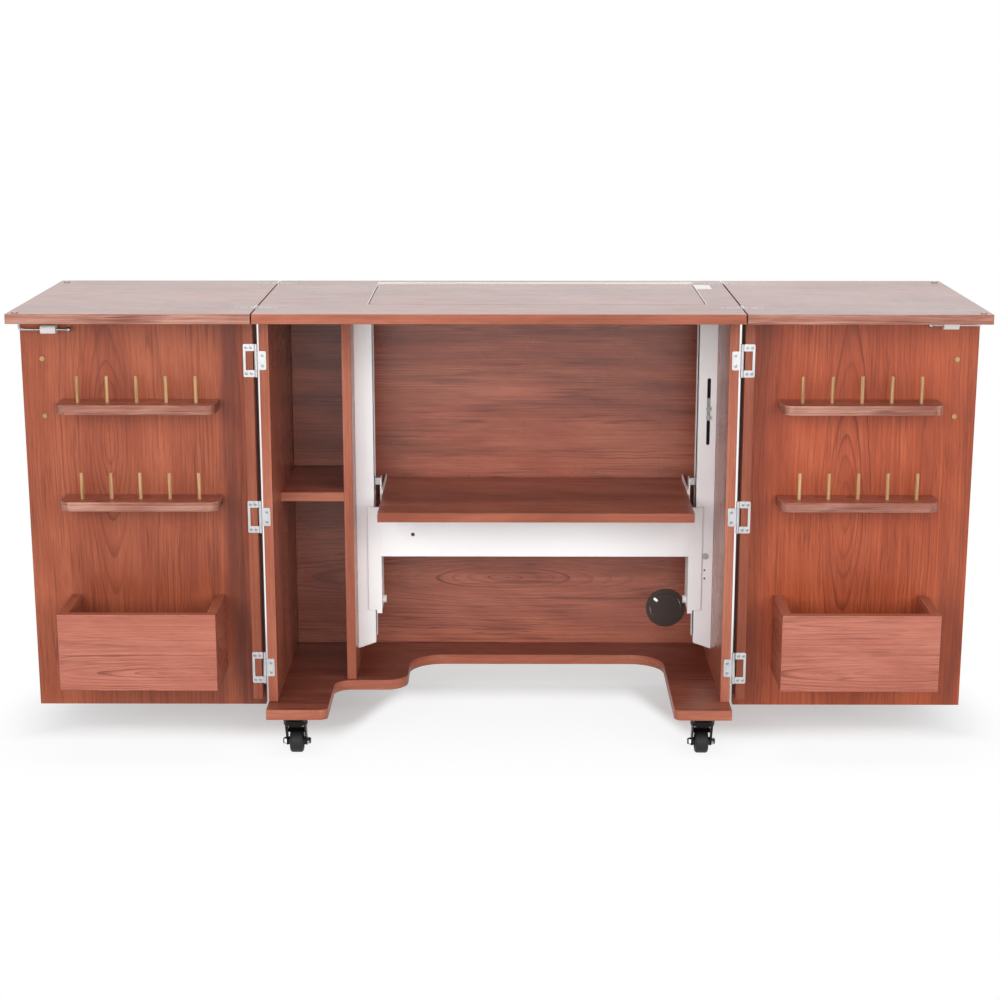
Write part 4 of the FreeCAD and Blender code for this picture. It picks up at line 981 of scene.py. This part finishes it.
def white_for_the_eye(tree):
    """1 for rays that show the background: straight to the eye, mirrored or through glass."""
    path = tree.nodes.new("ShaderNodeLightPath").outputs
    seen = calc(tree, "MAXIMUM", path["Is Camera Ray"], path["Is Glossy Ray"])
    return calc(tree, "MAXIMUM", seen, path["Is Transmission Ray"])


def make_floor():
    """White floor with soft shadows; in front, in the knee space and far out, painted white hides them
    from the eye.
    """
    material = bpy.data.materials.new("pale_floor")
    material.use_nodes = True
    tree = material.node_tree
    tree.nodes.remove(tree.nodes["Principled BSDF"])
    matt = node_at(tree, "ShaderNodeBsdfDiffuse", Color=BOUNCE_GREY)
    shown = node_at(tree, "ShaderNodeBsdfDiffuse", Color=FLOOR_GREY)
    lift = node_at(tree, "ShaderNodeEmission", Color=WHITE, Strength=FLOOR_LIFT)
    white = node_at(tree, "ShaderNodeEmission", Color=WHITE, Strength=1.0)
    near = tree.nodes.new("ShaderNodeAddShader")
    tree.links.new(shown.outputs[0], near.inputs[0])
    tree.links.new(lift.outputs[0], near.inputs[1])
    spread = tree.nodes.new("ShaderNodeVectorMath")
    spread.operation = "LENGTH"
    tree.links.new(stretch(tree, object_place(tree), FLOOR_SQUASH, 1.0), spread.inputs[0])
    fading = tree.nodes.new("ShaderNodeMixShader")
    axes = tree.nodes.new("ShaderNodeSeparateXYZ")
    tree.links.new(object_place(tree), axes.inputs[0])
    off_middle = calc(tree, "ABSOLUTE", calc(tree, "SUBTRACT", axes.outputs["X"], KNEE_MIDDLE))
    knee_space = calc(tree, "MULTIPLY", between(tree, off_middle, *KNEE_FADE), KNEE_BACK)
    ahead = calc(tree, "MULTIPLY_ADD", axes.outputs["Y"], -1.0, knee_space)
    painted_front_white = calc(tree, "MULTIPLY", between(tree, ahead, *FRONT_FADE), FRONT_SHARE)
    far = between(tree, spread.outputs["Value"], *FAR_FADE)
    # Painted light: plain white shown to the eye in place of the shadowed floor, in front and in the
    # knee space; far out it is the plain white backdrop
    tree.links.new(calc(tree, "MAXIMUM", far, painted_front_white), fading.inputs[0])
    tree.links.new(near.outputs[0], fading.inputs[1])
    tree.links.new(white.outputs[0], fading.inputs[2])
    mix = tree.nodes.new("ShaderNodeMixShader")
    tree.links.new(white_for_the_eye(tree), mix.inputs[0])
    tree.links.new(matt.outputs[0], mix.inputs[1])
    tree.links.new(fading.outputs[0], mix.inputs[2])
    tree.links.new(mix.outputs[0], tree.nodes["Material Output"].inputs["Surface"])
    bm = bmesh.new()
    bmesh.ops.create_grid(bm, x_segments=2, y_segments=2, size=FLOOR_SIZE)
    mesh = bpy.data.meshes.new("floor")
    bm.to_mesh(mesh)
    bm.free()
    mesh.materials.append(material)
    floor = bpy.data.objects.new("floor", mesh)
    bpy.context.scene.collection.objects.link(floor)


def make_world():
    """White background for the eye, and a dim soft dome for the light."""
    world = bpy.data.worlds.new("studio")
    world.use_nodes = True
    tree = world.node_tree
    background = tree.nodes["Background"]
    background.inputs["Color"].default_value = WHITE
    strength = calc(tree, "MULTIPLY_ADD", white_for_the_eye(tree), 1.0 - SOFT_DOME, SOFT_DOME)
    tree.links.new(strength, background.inputs["Strength"])
    bpy.context.scene.world = world


def add_lamp(name, place, aim, size, power, mirrored=False):
    """A soft lamp; only a mirrored one shows as a sheen on glossy faces."""
    data = bpy.data.lights.new(name, "AREA")
    data.shape = "RECTANGLE"
    data.size, data.size_y = size
    data.energy = power
    lamp = bpy.data.objects.new(name, data)
    lamp.location = place
    lamp.visible_glossy = mirrored
    lamp.rotation_euler = (Vector(aim) - Vector(place)).to_track_quat("-Z", "Y").to_euler()
    bpy.context.scene.collection.objects.link(lamp)


def make_camera():
    """Camera that sees the cabinet as the photograph does."""
    data = bpy.data.cameras.new("photo_camera")
    data.sensor_fit = "HORIZONTAL"
    data.sensor_width = 36.0
    data.lens = 76.59
    data.shift_y = 0.0772
    camera = bpy.data.objects.new("photo_camera", data)
    camera.location = (0.0196, -3.6152, 1.2143)
    camera.rotation_euler = (math.radians(75.338), 0.0, math.radians(0.297))
    bpy.context.scene.collection.objects.link(camera)
    bpy.context.scene.camera = camera


make_floor()
make_world()
add_lamp("left_softbox", (-2.0, -2.7, 1.4), (-0.2, 0.0, 0.4), (2.4, 2.0), 46.0)
add_lamp("right_softbox", (2.0, -2.7, 1.4), (0.2, 0.0, 0.4), (2.4, 2.0), 46.0)
add_lamp("front_softbox", (0.0, -4.2, 1.5), (0.0, 0.0, 0.4), (3.0, 2.2), 64.0, mirrored=True)
add_lamp("top_softbox", (0.0, -0.3, 3.0), (0.0, -0.3, 0.0), (1.6, 1.6), 33.0)
add_lamp("rear_softbox", (0.0, 3.4, 1.9), (0.0, 0.2, 0.4), (2.4, 1.6), 18.0)
make_camera()
bpy.context.scene.view_settings.view_transform = "Standard"
